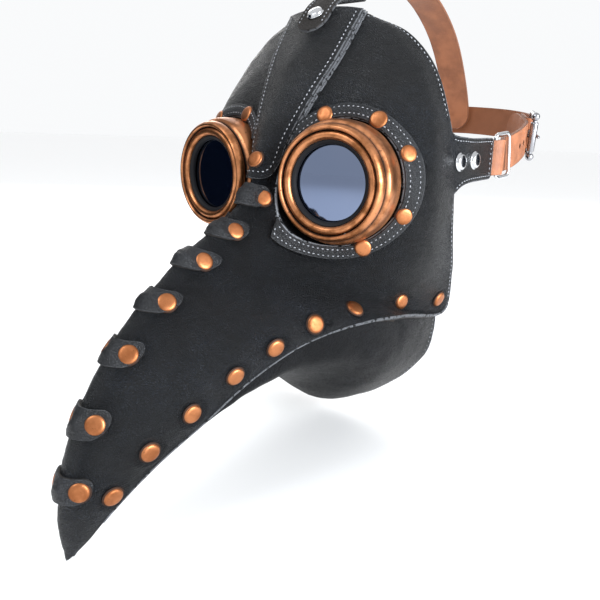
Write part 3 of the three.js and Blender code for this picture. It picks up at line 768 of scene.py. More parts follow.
def onEdge(tangent):
    # upright, square to a strap's run
    up = np.array([0, 0, 1.0]) - tangent * tangent[..., 2:3]
    return unit(up)


def softNoise(points, scale, seed):
    shift = Vector((seed * 7.3, seed * 3.1, seed * 5.7))
    flat = points.reshape(-1, 3)
    return np.array([noise.noise(Vector(p) * scale + shift) for p in flat]).reshape(points.shape[:-1])


def smooth(value, low, high):
    t = np.clip((value - low) / (high - low), 0, 1)
    return t * t * (3 - 2 * t)


def faceRelief(points, place, side):
    height = relief["wave"] * (softNoise(points, 0.045, 1) + 0.6 * softNoise(points, 0.11, 2))
    height = height + relief["crease"] * softNoise(points * [1.0, 1.0, 2.2], 0.22, 3)
    fold = smooth(place, *relief["spineStart"]) * (1 - smooth(place, *relief["spineEnd"]))
    spine = 1 - smooth(np.abs(points[..., 0]), relief["spineHalf"] - 2.2, relief["spineHalf"])
    height = height + relief["spine"] * fold * spine
    # each seam rivet pulls the leather down and swells it round about
    for sign in sides.values():
        for rivetPlace, rivetSide in seamRivets:
            centre = face(rivetPlace, sign * rivetSide)
            away = np.linalg.norm(points - centre, axis=-1)
            height = height - relief["dimple"] * np.exp(-(away / relief["dimpleRadius"]) ** 6)
            swell = (away - relief["swellRadius"]) / relief["swellWidth"]
            height = height + relief["swell"] * np.exp(-swell ** 2)
    near = smooth(np.abs(side), 0.97, 1.0) + (1 - smooth(place, 0, 0.15))
    return height * (1 - np.clip(near, 0, 1))


# The side tab grows out of the face's edge: rows of it are rows of the face.
def tabPoints(sign, edgePoints, edgeNormals):
    path = mirrored(tab["path"], sign)
    share = np.arange(tab["columns"] + 1) / tab["columns"]
    reach = tab["rootShare"] + (1 - tab["rootShare"]) * share
    line = alongCurve(np.broadcast_to(path, (len(reach), *path.shape)), reach)
    tangent = unit(np.gradient(line, axis=0))
    up = onEdge(tangent)
    out = unit(np.cross(tangent, up)) * sign
    rootHalf = 0.5 * np.linalg.norm(edgePoints[0] - edgePoints[-1])
    half = tab["endHalf"] + (rootHalf - tab["endHalf"]) * (1 - share) ** 5
    half = half * np.sqrt(1 - 0.3 * np.clip((share - 0.93) / 0.07, 0, 1) ** 2)
    v = np.linspace(1, -1, len(edgePoints))[:, None]
    ribbon = line[None] + up[None] * (half[None] * v)[..., None]
    pull = (1 - smooth(share, 0, 0.3))[None, :, None]
    points = ribbon + (edgePoints[:, None] - ribbon[:, :1]) * pull
    facing = unit(out[None] * (1 - pull) + edgeNormals[:, None] * pull)
    return points[:, 1:], facing[:, 1:]


# Moves the points inside each eye hole out to its edge, and says which cells are left.
def cutHoles(outer, inner):
    keep = np.ones((outer.shape[0] - 1, outer.shape[1] - 1), bool)
    for sign in sides.values():
        centre, axis, _, _ = goggleFrame(sign)
        gone = None
        for sheet in (outer, inner):
            away = sheet - centre
            along = away @ axis
            flat = away - along[..., None] * axis
            radius = np.linalg.norm(flat, axis=-1)
            if gone is None:
                gone = (radius < goggle["hole"]) & (sheet[..., 1] < -5)
            wider = (goggle["hole"] / np.maximum(radius, 1e-6))[..., None]
            moved = centre + along[..., None] * axis + flat * wider
            sheet[gone] = moved[gone]
        keep &= ~(gone[:-1, :-1] & gone[1:, :-1] & gone[:-1, 1:] & gone[1:, 1:])
    return keep


def makeFace():
    places = np.linspace(0, skin["faceEnd"], faceGrid["rows"])
    across = np.linspace(-1, 1, faceGrid["columns"])
    place, side = np.meshgrid(places, across, indexing="ij")
    points = face(place, side)
    edges = face(place, 0 * side + 1) + face(place, 0 * side - 1)
    middle = 0.5 * (face(place, 0 * side) + 0.5 * edges)
    toEnd = np.clip((place - skin["roundFrom"]) / (skin["faceEnd"] - skin["roundFrom"]), 0, 1)
    points = middle + (points - middle) * np.sqrt(np.clip(1 - toEnd ** 2, 0.01, 1))[..., None]
    facing = normals(face, place, side)
    thick = skin["leather"] * (1 - skin["tipThinning"] * smooth(place, 14.2, 15.6))
    outer = points + facing * faceRelief(points, place, side)[..., None]
    inner = points - facing * thick[..., None]
    keep = cutHoles(outer, inner)
    rows = np.where((places >= tab["firstPlace"]) & (places <= tab["lastPlace"]))[0]
    blank = np.zeros((len(places), tab["columns"], 3))
    keepTab = np.zeros((len(places) - 1, tab["columns"]), bool)
    keepTab[rows[0]:rows[-1]] = True
    sheets = {}
    for sign, column in ((-1, 0), (1, -1)):
        tabOut, tabFacing = tabPoints(sign, points[rows, column], facing[rows, column])
        far, near = blank.copy(), blank.copy()
        far[rows] = tabOut
        near[rows] = tabOut - tabFacing * skin["leather"]
        sheets[sign] = (far, near) if sign > 0 else (far[:, ::-1], near[:, ::-1])
    outer = np.concatenate([sheets[-1][0], outer, sheets[1][0]], 1)
    inner = np.concatenate([sheets[-1][1], inner, sheets[1][1]], 1)
    keep = np.concatenate([keepTab, keep, keepTab], 1)
    addSheet("faceLeather", outer, inner, "face", keep=keep, replaced=["face_leather"], bevel=0.55)


makeFace()
print("face leather shaped")


def makeChin():
    rows = np.linspace(skin["chinStart"], skin["chinEnd"], 130)
    place, side = np.meshgrid(rows, np.linspace(-1, 1, 130), indexing="ij")
    points = chin(place, side)
    facing = -normals(chin, place, side)
    wave = 0.5 * softNoise(points, 0.05, 8) + 0.25 * softNoise(points, 0.12, 9)
    hidden = smooth(np.abs(side), 0.7, 0.8)
    outer = points + facing * (wave * (1 - hidden))[..., None]
    inner = points - facing * skin["leather"]
    # the darker leather paints shade under the chin
    addSheet("chinPanel", outer, inner, "chin", replaced=["chin_panel"], bevel=0.55)


makeChin()


tip = {
    "start": 14.55, "end": 15.9, "rings": 26, "upper": 22, "under": 12,
    "sink": 0.75, "shrink": 0.55, "drop": 2.6,
}


# The plug that closes the beak's end from below, between the edges of the face leather.
def makeTip():
    rings = []
    for i in range(tip["rings"]):
        at = tip["start"] + (tip["end"] - tip["start"]) * i / (tip["rings"] - 1)
        gone = i / tip["rings"]
        inset = tip["sink"] + tip["shrink"] * (1 - 0.7 * gone)
        upper = raised(face, at, np.linspace(-0.97, 0.97, tip["upper"]), -inset)
        left, right = upper[-1], upper[0]
        share = np.linspace(0, 1, tip["under"])[1:-1, None]
        drop = np.sin(math.pi * share) * tip["drop"] * (1 - gone)
        under = left + (right - left) * share + drop * np.array([0, 0.25, -0.95])
        rings.append(np.concatenate([upper, under]))
    grid = np.array(rings)
    index = np.arange(grid.shape[0] * grid.shape[1]).reshape(grid.shape[:2])
    points = grid.reshape(-1, 3)
    faces = turnedOut(points, [ringQuads(index), index[0][None, ::-1], index[-1][None]])
    # the darker leather paints shade under the beak's end
    addPiece("beakTip", points, faces, "chin", replaced=["beak_tip"], marks={"edge": np.zeros(len(points))})


makeTip()
print("chin panel and beak tip shaped")

# ---------- forehead strip, bands and their stitching ----------

strip = {
    "to": 5.35, "roundFrom": 4.85, "halfWidths": [23, 22.5, 21, 16, 11, 7], "rowSpacing": 17.0,
    "lift": 0.6, "thick": 2.0, "puff": 0.5, "wave": 0.25, "stitchIn": 2.6, "rivetPlace": 4.86,
    # each welt's distance outside the strip, height and radius
    "welts": ((0.75, 1.35, 0.62), (1.75, 0.75, 0.5)),
}


def sideWhere(place, x):
    # the side value at which the face is a distance x from its middle
    low, high = np.zeros_like(place), np.ones_like(place)
    for _ in range(24):
        middle = (low + high) / 2
        under = face(place, middle)[..., 0] < x
        low = np.where(under, middle, low)
        high = np.where(under, high, middle)
    return low


def stripEnd(inset=0.0):
    return strip["to"] - inset / strip["rowSpacing"]


def stripHalf(place, inset=0.0):
    x = between(np.array(strip["halfWidths"], float)[:, None], place)[..., 0]
    bend = np.clip((place - strip["roundFrom"]) / (stripEnd(inset) - strip["roundFrom"]), 0, 1)
    return (x - inset) * np.sqrt(np.maximum(1 - bend ** 2, 0.0004))


def makeStrip():
    # rows crowd together towards the rounded end
    rounding = (strip["to"] - strip["roundFrom"]) * np.linspace(1, 0, 22)[1:] ** 1.8
    places = np.concatenate([np.linspace(0, strip["roundFrom"], 90), strip["to"] - rounding])
    reach = sideWhere(places, stripHalf(places))
    place, share = np.meshgrid(places, np.linspace(-1, 1, 41), indexing="ij")
    side = share * reach[:, None]
    points, facing = onFace(place, side)
    wave = strip["wave"] * softNoise(points, 0.08, 11) * (1 - np.abs(share) ** 6)
    puff = strip["puff"] * (1 - np.abs(share) ** 2.5)
    outer = points + facing * (strip["lift"] + strip["thick"] + wave + puff)[..., None]
    inner = points + facing * strip["lift"]
    addSheet("foreheadStrip", outer, inner, "face", replaced=["forehead_strip"], bevel=0.5)


def stripStitches():
    end = stripEnd(strip["stitchIn"])
    rounding = (end - strip["roundFrom"]) * np.linspace(1, 0, 30)[1:] ** 1.8
    places = np.concatenate([np.linspace(0.16, strip["roundFrom"], 90), end - rounding])
    reach = sideWhere(places, stripHalf(places, strip["stitchIn"]))
    height = strip["lift"] + strip["thick"] + 0.32
    left, leftOut = onFace(places, reach, height)
    right, rightOut = onFace(places[::-1], -reach[::-1], height)
    line = np.concatenate([left, right[1:]])
    addThread("stripStitching", stitchParts(line, np.concatenate([leftOut, rightOut[1:]])))


def stripWelts():
    places = np.linspace(0.02, strip["roundFrom"] - 0.02, 110)
    for word, sign in sides.items():
        welts = []
        for outside, height, radius in strip["welts"]:
            reach = sideWhere(places, stripHalf(places, -outside))
            welts.append(tubeParts(onFace(places, sign * reach, height)[0], radius, 8))
        points, faces = joined(welts)
        addPiece(f"stripWelt{word}", points, faces, "face", marks={"edge": np.full(len(points), 0.9)})


makeStrip()
stripStitches()
stripWelts()

bandShape = {
    "rows": 25, "columns": 71, "share": 0.9, "roundFrom": 0.58, "thick": 1.9, "lift": 0.3, "roll": 0.12,
    "crease": 0.28, "bulge": 1.45, "bulgeReach": 5.5, "sink": 0.3, "rivetBed": 5.6, "rivetSink": 0.7,
}


def addBand(name, band, node):
    shape = bandShape
    u = np.linspace(-1, 1, shape["columns"])
    v = np.linspace(-1, 1, shape["rows"])
    v, u = np.meshgrid(v, u, indexing="ij")
    bend = np.clip((np.abs(u) - shape["roundFrom"]) / (1 - shape["roundFrom"]), 0, 1)
    half = shape["share"] * band["half"] * np.sqrt(np.maximum(1 - bend ** 2, 0.006))
    place = band["place"] + v * half
    side = u * band["wrap"]
    points, facing = onFace(place, side)
    rowSpacing = np.linalg.norm(face(band["place"] + 0.1, 0.0) - face(band["place"] - 0.1, 0.0)) / 0.2
    reach = np.linalg.norm(face(band["place"], band["wrap"]) - face(band["place"], 0.0))
    inFromEdge = np.minimum((1 - np.abs(v)) * half * rowSpacing, (1 - np.abs(u)) * reach * 1.25)
    roll = shape["roll"] * np.exp(-((inFromEdge - 1.3) / 0.8) ** 2)
    crumple = softNoise(points * [0.6, 1.6, 1.6], 0.42, len(name) % 7 + int(band["place"]))
    crease = shape["crease"] * crumple * smooth(inFromEdge, 0.8, 2.5)
    spine = relief["spine"] * (1 - smooth(np.abs(points[..., 0]), 3.5, 9.5)) * 0.8
    bulge = shape["bulge"] * smooth(inFromEdge, 0, shape["bulgeReach"]) - shape["sink"]
    for sign in sides.values():
        # the leather is pressed flat under each rivet
        away = np.linalg.norm(points - face(band["place"], sign * band["rivet"]), axis=-1)
        bulge = bulge - (0.5 + bulge) * np.exp(-(away / shape["rivetBed"]) ** 6)
    lift = shape["lift"] + spine
    outer = points + facing * (lift + shape["thick"] + roll + bulge + crease)[..., None]
    inner = points + facing * lift[..., None]
    addSheet(name, outer, inner, "band", replaced=[node], bevel=0.45)
    seat = shape["lift"] + shape["thick"] - shape["rivetSink"]
    for word, sign in sides.items():
        point, normal = onFace(band["place"], sign * band["rivet"], seat)
        addRivet(f"{name}Rivet{word}", point, normal)


for number, band in enumerate(ridgeBands, 1):
    addBand(f"ridgeBand{number}", band, f"ridge_band_{number}")
addBand("noseBand", noseBand, "nose_band")
stripPoint, stripNormal = onFace(strip["rivetPlace"], 0.0, strip["lift"] + strip["thick"] + 0.2)
addRivet("stripRivet", stripPoint, stripNormal)
for number, (place, side) in enumerate(seamRivets, 1):
    for word, sign in sides.items():
        point, normal = onFace(place, sign * side, -0.25)
        node = f"seam_rivet_{number}_{word.lower()}"
        addRivet(f"seamRivet{number}{word}", point, normal, replaced=[node])
print("strip, bands and rivets set")


def insetSide(places, distance):
    # the side value a distance in from the face's outer edge
    edge = face(places, np.ones_like(places))
    inner = face(places, np.full_like(places, 0.98))
    return 1 - 0.02 * distance / np.linalg.norm(edge - inner, axis=-1)


def seamWelt():
    places = np.linspace(7.75, 15.2, 160)
    parts = [tubeParts(onFace(places, np.full_like(places, sign), -0.5)[0], 0.75, 8) for sign in sides.values()]
    points, faces = joined(parts)
    addPiece("seamWelt", points, faces, "face", marks={"edge": np.full(len(points), 0.95)})


def tabStitches(sign):
    rows = np.linspace(tab["firstPlace"], tab["lastPlace"], 24)
    edge = np.full_like(rows, sign)
    points, facing = tabPoints(sign, face(rows, edge), normals(face, rows, edge))
    lines = [(points[row, :-1], facing[row, :-1]) for row in (2, -3)]
    lines.append((points[2:-2, -3], facing[2:-2, -3]))
    return [part for line, out in lines for part in stitchParts(line + out * 0.1, out)]


edgeStitch = {
    "topPlace": 0.22, "topSides": (0.62, 0.985), "inset": 2.6,
    "first": 0.3, "last": 7.6, "overTab": 0.25, "underTab": 0.2,
}


def edgeStitches():
    parts = []
    for sign in sides.values():
        topSides = np.linspace(*edgeStitch["topSides"], 40) * sign
        parts += stitchParts(*onFace(np.full_like(topSides, edgeStitch["topPlace"]), topSides, 0.05))
        above = (edgeStitch["first"], tab["firstPlace"] - edgeStitch["overTab"])
        below = (tab["lastPlace"] + edgeStitch["underTab"], edgeStitch["last"])
        for first, last in (above, below):
            places = np.linspace(first, last, 60)
            parts += stitchParts(*onFace(places, sign * insetSide(places, edgeStitch["inset"]), 0.12))
        parts += tabStitches(sign)
    addThread("edgeStitching", parts)


def chinStitches():
    parts = []
    for sign in sides.values():
        places = np.full(60, skin["chinStart"] + 0.1)
        sideValues = sign * np.linspace(0.03, 0.7, 60)
        line = raised(chin, places, sideValues, np.full(60, -0.1))
        parts += stitchParts(line, -normals(chin, places, sideValues), 3.1)
    addThread("chinStitching", parts)


seamWelt()
edgeStitches()
chinStitches()

# ---------- goggles ----------

flange = {
    "lift": 0.4, "thick": 1.6, "puff": 0.45, "wave": 0.15,
    "stitchIn": (1.4, 4.6), "stitchSpacing": 2.45, "rivetAngles": (110, 62, 26, -25, -66), "rivetAt": 33.6,
}
sleeve = {"thick": 0.9, "inside": 0.2, "down": 8, "lip": 5, "lipTo": 26.6, "depth": -21.0}


def flangeReach(angle):
    # the flange stops short of the nose
    inward = np.maximum(-np.cos(angle), 1e-3)
    return np.minimum(goggle["flangeOut"], (goggle["centre"][0] - goggle["noseX"]) / inward)


def roundGoggle(sign, radius, angle):
    return underGoggle(sign, sign * radius * np.cos(angle), radius * np.sin(angle))


def makeFlange(word, sign):
    limit = math.acos(-(goggle["centre"][0] - goggle["noseX"]) / (goggle["flangeIn"] + 1.0))
    angle, share = np.meshgrid(np.linspace(-limit, limit, 170), np.linspace(0, 1, 12), indexing="ij")
    radius = goggle["flangeIn"] + (flangeReach(angle) - goggle["flangeIn"]) * share
    place, side = roundGoggle(sign, radius, angle)
    points, facing = onFace(place, side)
    puff = flange["puff"] * np.sin(math.pi * share) + flange["wave"] * softNoise(points, 0.15, 21)
    top = flange["lift"] + flange["thick"]
    outer = points + facing * (top + puff)[..., None]
    inner = points + facing * flange["lift"]
    node = f"goggle_flange_{word.lower()}"
    addSheet(f"goggleFlange{word}", outer, inner, "band", replaced=[node], bevel=0.5)
    parts = []
    for inset in flange["stitchIn"]:
        angles = np.linspace(-limit + 0.1, limit - 0.1, 200)
        place, side = roundGoggle(sign, np.minimum(goggle["flangeIn"] + inset, flangeReach(angles) - 1.2), angles)
        parts += stitchParts(*onFace(place, side, top + 0.28), flange["stitchSpacing"])
    addThread(f"flangeStitching{word}", parts)
    for number, degrees in enumerate(flange["rivetAngles"], 1):
        place, side = roundGoggle(sign, flange["rivetAt"], np.array([math.radians(degrees)]))
        addRivet(f"flangeRivet{number}{word}", *onFace(place[0], side[0], top - 0.35))


# The hole's leather turns in along the collar, then in behind its back, so that nothing shows between them.
def makeSleeve(word, sign):
    centre, axis, across, up = goggleFrame(sign)
    angles = np.linspace(0, 2 * math.pi, 121)
    radius = goggle["hole"] - sleeve["inside"]
    place, side = roundGoggle(sign, radius, angles)
    front = (face(place, side) - centre) @ axis
    shares = np.concatenate([np.linspace(0, 1, sleeve["down"]), np.ones(sleeve["lip"])])
    lip = np.linspace(0, radius - sleeve["lipTo"], sleeve["lip"] + 1)
    inward = np.concatenate([np.zeros(sleeve["down"] - 1), lip])
    back = np.minimum(front - 4.0, sleeve["depth"])
    depth = front[:, None] + 0.2 + shares[None] * (back - front)[:, None]
    ring = sign * np.cos(angles)[:, None] * across + np.sin(angles)[:, None] * up
    inner = centre + (radius - inward)[None, :, None] * ring[:, None] + depth[..., None] * axis
    outward = ring[:, None] * (1 - inward / radius)[None, :, None] - (inward > 0)[None, :, None] * axis
    # the darker leather paints shade inside the eye hole
    addSheet(f"goggleSleeve{word}", inner + sleeve["thick"] * outward, inner, "chin", fleshIn=False, bevel=0)


def makeGoggle(word, sign):
    centre, axis, _, _ = goggleFrame(sign)
    low = word.lower()
    for part in ("collar", "rim", "bezel"):
        addTurned(f"goggle{part.capitalize()}{word}", goggle[part], centre, axis, "copper", 120,
                  goggle[part + "Groove"], replaced=[f"goggle_{part}_{low}"], bevel=0.2, bevelAngle=28)
    for part, look, bevel in (("gasket", "rubber", 0.15), ("retainer", "black", 0.25)):
        addTurned(f"lens{part.capitalize()}{word}", goggle[part], centre, axis, look,
                  replaced=[f"lens_{part}_{low}"], bevel=bevel)
    addTurned(f"lens{word}", goggle["lens"], centre, axis, "glass", replaced=[f"lens_{low}"])


for word, sign in sides.items():
    makeFlange(word, sign)
    makeSleeve(word, sign)
    makeGoggle(word, sign)
print("goggles fitted")

# ---------- harness ----------

strap = {"half": 10.0, "thick": 2.2, "columns": 41, "crown": 0.18, "wave": 0.12, "rounding": 9.0, "bevel": 0.5}
loopWire = {"front": (74.8, 57.5, 13.8), "rear": (78.2, 70, 15.7), "half": 12.6, "bend": 4.0, "radius": 1.1}
crownWire = {"front": (0, 17, 104.9), "rear": (0, 27.5, 112.6), "half": 12.6, "bend": 4.0, "radius": 1.1}
buckle = {
    "front": (75.6, 119.5, 26.5), "rear": (68.6, 133, 29.5), "half": 13.6, "bend": 3.0, "radius": 1.4,
    "ball": 2.7, "roller": 2.4, "rollerHalf": 9.5, "rollerPlay": 0.3,
    "eye": 0.95, "eyeWire": 0.78, "eyeFrom": 60, "eyeTo": 395,
}
wirePlay = 0.35          # between a wire and the strap folded round it
prongSlot = {"half": 2.7, "behind": 6.4, "reach": 14}
sideStrapPath = [
    (71.2, 18, 12), (72, 38, 12.6), (72.4, 51, 13), (76.2, 54.6, 13.4), (78, 57.5, 13.8), (77.4, 61, 14),
    (75, 66, 15), (75, 80, 17), (74.4, 98, 21), (72.2, 114, 25), (70, 120.5, 26.5), (67, 126, 28),
    (64, 130.6, 29.2), (60.4, 137.5, 30.8), (52.6, 147.6, 33.2), (47.2, 152.2, 34.2),
]
# half of the rear strap, to the middle: point on the strap's inside, which way it faces, how far out it lies
rearStrapPath = [
    ((58, 149, 33), (0.75, 0.66, 0), 2.6), ((42, 161, 36), (0.5, 0.86, 0), 2.0),
    ((22, 168, 38), (0.25, 0.97, 0), 1.4), ((0, 170, 39), (0, 1, 0), 1.2),
]
crownStrapPath = [
    (0, 38, 117.4), (0, 46, 116), (0, 75, 117), (0, 105, 109), (0, 133, 92), (0, 155, 66), (0, 166.5, 44),
    (0, 166.6, 32),
]
crownTongue = {
    "path": [(0, -31.5, 74.6), (0, -24.6, 82.6), (0, -18.6, 89.0), (0, -9.4, 95.0), (0, 2, 100.6), (0, 9.5, 103.8)],
    "half": 9.0, "thick": 1.7, "stitchAt": 7.3,
    "rivets": ((-24.4, 84.3), (-11.6, 94.9)), "rivetFacing": (0, -0.62, 0.78),
}
strapHoles = {"spots": (96.0, 104.5, 113.0), "radius": 1.35}


def evenly(path, spacing):
    # points at even distances along a smooth curve
    path = np.asarray(path, float)
    shares = np.linspace(0, 1, 60 * len(path))
    line = alongCurve(np.broadcast_to(path, (len(shares), *path.shape)), shares)
    reach = distances(line)
    return pointsAt(np.linspace(0, reach[-1], max(int(reach[-1] / spacing), 4)), reach, line)


# A leather strap along a line of points: width across it, rounded ends, punched holes and slots.
def addStrap(name, line, across, look="tan", half=strap["half"], thick=strap["thick"], keepAt=None,
             pointed=(False, False), **rest):
    line = np.asarray(line, float)
    tangent = unit(np.gradient(line, axis=0))
    wide = across(tangent)
    out = unit(np.cross(tangent, wide))
    columns = np.linspace(-1, 1, strap["columns"])
    reach = distances(line)
    taper = np.ones(len(line))
    for end, wanted in ((reach, pointed[0]), (reach[-1] - reach, pointed[1])):
        if wanted:
            taper = np.minimum(taper, np.sqrt(1 - np.clip(1 - end / strap["rounding"], 0, 0.995) ** 2))
    flat = line[:, None] + wide[:, None] * (columns[None] * half * taper[:, None])[..., None]
    crown = strap["crown"] * (1 - np.abs(columns) ** 4)[None]
    outer = flat + out[:, None] * (thick / 2 + crown + strap["wave"] * softNoise(flat, 0.12, 31))[..., None]
    inner = flat - out[:, None] * (thick / 2)
    keep = None
    if keepAt is not None:
        middle = 0.25 * (flat[:-1, :-1] + flat[1:, :-1] + flat[:-1, 1:] + flat[1:, 1:])
        keep = keepAt(middle, 0.5 * (columns[1:] + columns[:-1])[None] * half)
    return addSheet(name, outer, inner, look, keep=keep, bevel=strap["bevel"], **rest)


# Points that go round a bar, from its outer side, over its far side, to its inner side.
def foldRound(bar, radius, leave, out, turns=14):
    angles = np.linspace(0, math.pi, turns)
    return [bar + radius * (np.cos(a) * out - np.sin(a) * leave) for a in angles]


def rect(part, sign=1):
    # a wire rectangle's front and rear bars, and its directions: along, up its bars, out from the head
    front, rear = mirrored(part["front"], sign), mirrored(part["rear"], sign)
    along = unit(rear - front)
    up = np.array([1.0, 0, 0]) if front[0] == 0 else onEdge(along)
    return front, rear, along, up, unit(np.cross(along, up)) * sign


def roundedLoop(part, sign=1, steps=9):
    front, rear, _, up, _ = rect(part, sign)
    high = up * part["half"]
    corners = [front + high, front - high, rear - high, rear + high]
    bend = part["bend"] * 0.8
    line = []
    for i, corner in enumerate(corners):
        before, after = unit(corners[i - 1] - corner), unit(corners[(i + 1) % 4] - corner)
        middle = corner + (before + after) * bend
        for a in np.linspace(0, math.pi / 2, steps):
            line.append(middle - after * bend * math.cos(a) - before * bend * math.sin(a))
        span = np.linalg.norm(corners[(i + 1) % 4] - corner) - 2 * bend
        for k in range(1, int(span / 1.5)):
            line.append(corner + after * (bend + span * k / int(span / 1.5)))
    return line


def addLoop(name, part, sign, node):
    points, faces = tubeParts(roundedLoop(part, sign), part["radius"], 16, closed=True)
    addPiece(name, points, faces, "chrome", body=node, replaced=[node])


def makeSideStrap(word, sign):
    line = evenly(mirrored(sideStrapPath, sign), 0.8)
    spots = [line[np.argmin(np.abs(line[:, 1] - y))] for y in strapHoles["spots"]]

    def keepAt(middle, offset):
        keep = np.ones(middle.shape[:2], bool)
        for spot in spots:
            keep &= np.linalg.norm(middle - spot, axis=-1) > strapHoles["radius"]
        return keep

    addStrap(f"sideStrap{word}", line, onEdge, keepAt=keepAt, pointed=(False, True),
             replaced=[f"side_strap_{word.lower()}"])


def makeBuckle(word, sign):
    front, _, _, up, _ = rect(buckle, sign)
    low = word.lower()
    parts = [tubeParts(roundedLoop(buckle, sign), buckle["radius"], 16, closed=True)]
    rings = np.linspace(-1, 1, 15)
    ballRadius = np.maximum(buckle["ball"] * np.sqrt(1 - (rings * 0.995) ** 2), 0.05)
    for end in (-1, 1):
        ball = front + up * end * (buckle["half"] - 0.6)
        parts.append(tubeParts([ball + up * r * buckle["ball"] for r in rings], ballRadius, 18))
    node = f"buckle_frame_{low}"
    addPiece(f"buckleFrame{word}", *joined(parts), "steel", body=node, replaced=[node])
    inner, outer, h = buckle["radius"] + buckle["rollerPlay"], buckle["roller"], buckle["rollerHalf"]
    tube = [(inner, -h), (outer - 0.25, -h), (outer, 0.5 - h), (outer, h - 0.5), (outer - 0.25, h), (inner, h)]
    node = f"buckle_roller_{low}"
    addTurned(f"buckleRoller{word}", tube, front, up, "steel", 40, body=node, replaced=[node], bevel=0.12)


# The prong is an eye round the rear bar and a tongue lying on the roller.
def makeProng(word, sign):
    front, rear, along, _, out = rect(buckle, sign)
    length = np.linalg.norm(rear - front)
    eyeRadius = buckle["radius"] + buckle["eye"]
    angles = np.radians(np.linspace(buckle["eyeFrom"], buckle["eyeTo"], 26))[::-1]
    eye = [rear + eyeRadius * (np.cos(a) * out + np.sin(a) * along) for a in angles]
    # height over the rear bar, distance ahead of it
    tongue = [(eyeRadius + 0.1, 1.5), (2.9, length * 0.35), (3.4, length * 0.7), (3.7, length), (3.3, length + 2.2)]
    line = evenly(np.array([rear + out * high - along * ahead for high, ahead in tongue]), 0.7)
    shape = np.concatenate([np.full(3, 0.8), np.linspace(0.95, 1.05, len(line) - 6), [0.95, 0.7, 0.35]])
    parts = [tubeParts(eye, buckle["eyeWire"], 12), tubeParts(line, shape, 14)]
    node = f"buckle_prong_{word.lower()}"
    addPiece(f"buckleProng{word}", *joined(parts), "steel", body=node, replaced=[node])


# One strap from fold to fold; each fold goes round a buckle's rear bar and back along the inside.
def makeRearStrap():
    radius = buckle["radius"] + wirePlay + strap["thick"] / 2
    bars = {sign: rect(buckle, sign) for sign in (1, -1)}
    ends = {}
    for sign, (_, rear, along, _, out) in bars.items():
        inside = [rear - out * radius + along * d - out * 0.15 for d in (18, 14, 9, 4)]
        wrap = foldRound(rear, radius, along, out)[::-1]
        ends[sign] = inside + wrap + [rear + out * radius + along * 3.5]
    half = [np.array(point, float) + unit(np.array(facing, float)) * push for point, facing, push in rearStrapPath]
    otherHalf = [point * [-1, 1, 1] for point in half[-2::-1]]
    line = evenly(np.array(ends[1] + half + otherHalf + ends[-1][::-1]), 0.8)

    def keepAt(middle, offset):
        keep = np.ones(middle.shape[:2], bool)
        for _, rear, along, _, _ in bars.values():
            away = middle - rear
            behind = (away @ along < prongSlot["behind"]) & (np.linalg.norm(away, axis=-1) < prongSlot["reach"])
            keep &= ~((np.abs(offset) < prongSlot["half"]) & behind)
        return keep

    addStrap("rearStrap", line, onEdge, keepAt=keepAt, replaced=["rear_strap"])
    for word, sign in sides.items():
        _, rear, along, up, out = bars[sign]
        for number, height in enumerate((-5.5, 5.5), 1):
            point = rear + along * 10.5 + out * (radius + strap["thick"] / 2 + 0.75) + up * height
            addRivet(f"rearStrapRivet{number}{word}", point, out, "steel", 2.6, 1.3)


def overCrown(tangent):
    return np.broadcast_to(np.array([1.0, 0, 0]), tangent.shape)


def crownBars():
    # as rect, but with the last direction up from the crown
    front, rear, along, _, down = rect(crownWire)
    return front, rear, along, -down


# The tongue runs up from the forehead strip, round the loop's front bar and back under itself.
def makeTongue():
    front, _, along, out = crownBars()
    thick = crownTongue["thick"]
    r = crownWire["radius"] + wirePlay + thick / 2
    back = [front - along * d - out * (r + 0.2) for d in (4, 8, 12)]
    line = evenly(np.array([*crownTongue["path"], *foldRound(front, r, -along, out), *back]), 0.8)
    addStrap("crownTongue", line, overCrown, "face", half=crownTongue["half"], thick=thick, pointed=(True, False))
    for number, (y, z) in enumerate(crownTongue["rivets"], 1):
        addRivet(f"crownTongueRivet{number}", (0, y, z), crownTongue["rivetFacing"], "chrome", 4.2, 1.9)
    parts = []
    for x in (-crownTongue["stitchAt"], crownTongue["stitchAt"]):
        row = line[6:70].copy()
        row[:, 0] = x
        tangent = unit(np.gradient(row, axis=0))
        facing = unit(np.cross(overCrown(tangent), tangent))
        facing = facing * np.sign(facing[:, 2:3] + 1e-9)
        parts += stitchParts(row + facing * (thick / 2 + 0.12), facing)
    addThread("tongueStitching", parts)


# The crown strap folds round the loop's rear bar and runs over the head to the rear strap.
def makeCrown():
    _, rear, along, out = crownBars()
    r = crownWire["radius"] + wirePlay + strap["thick"] / 2
    under = [rear - out * (r + 0.2) + along * d for d in (13, 8.5, 4)]
    wrap = foldRound(rear, r, along, out)[::-1]
    line = evenly(np.array([*under, *wrap, rear + out * r + along * 3.0, *crownStrapPath]), 0.9)
    addStrap("crownStrap", line, overCrown, replaced=["crown_strap"], pointed=(False, True))
    addRivet("crownStrapRivet", (0, 41.5, 119.0), (0, -0.2, 1), "steel", 2.8, 1.4)
    addRivet("rearCrownRivet", (0, 172.6, 39.0), (0, 1, 0), "steel", 3.4, 1.6)
    addLoop("crownLoop", crownWire, 1, "crown_loop")


def makeTabRivets(word, sign):
    path = mirrored(tab["path"], sign)
    for title, share in (("Front", 0.42), ("Rear", 0.68)):
        spot = alongCurve(path, np.array(share))
        tangent = unit(alongCurve(path, np.array(share + 0.01)) - spot)
        out = unit(np.cross(tangent, onEdge(tangent))) * sign
        node = f"tab_rivet_{title.lower()}_{word.lower()}"
        addRivet(f"tabRivet{title}{word}", spot + out * 0.1, out, "chrome", 4.3, 2.0, replaced=[node])


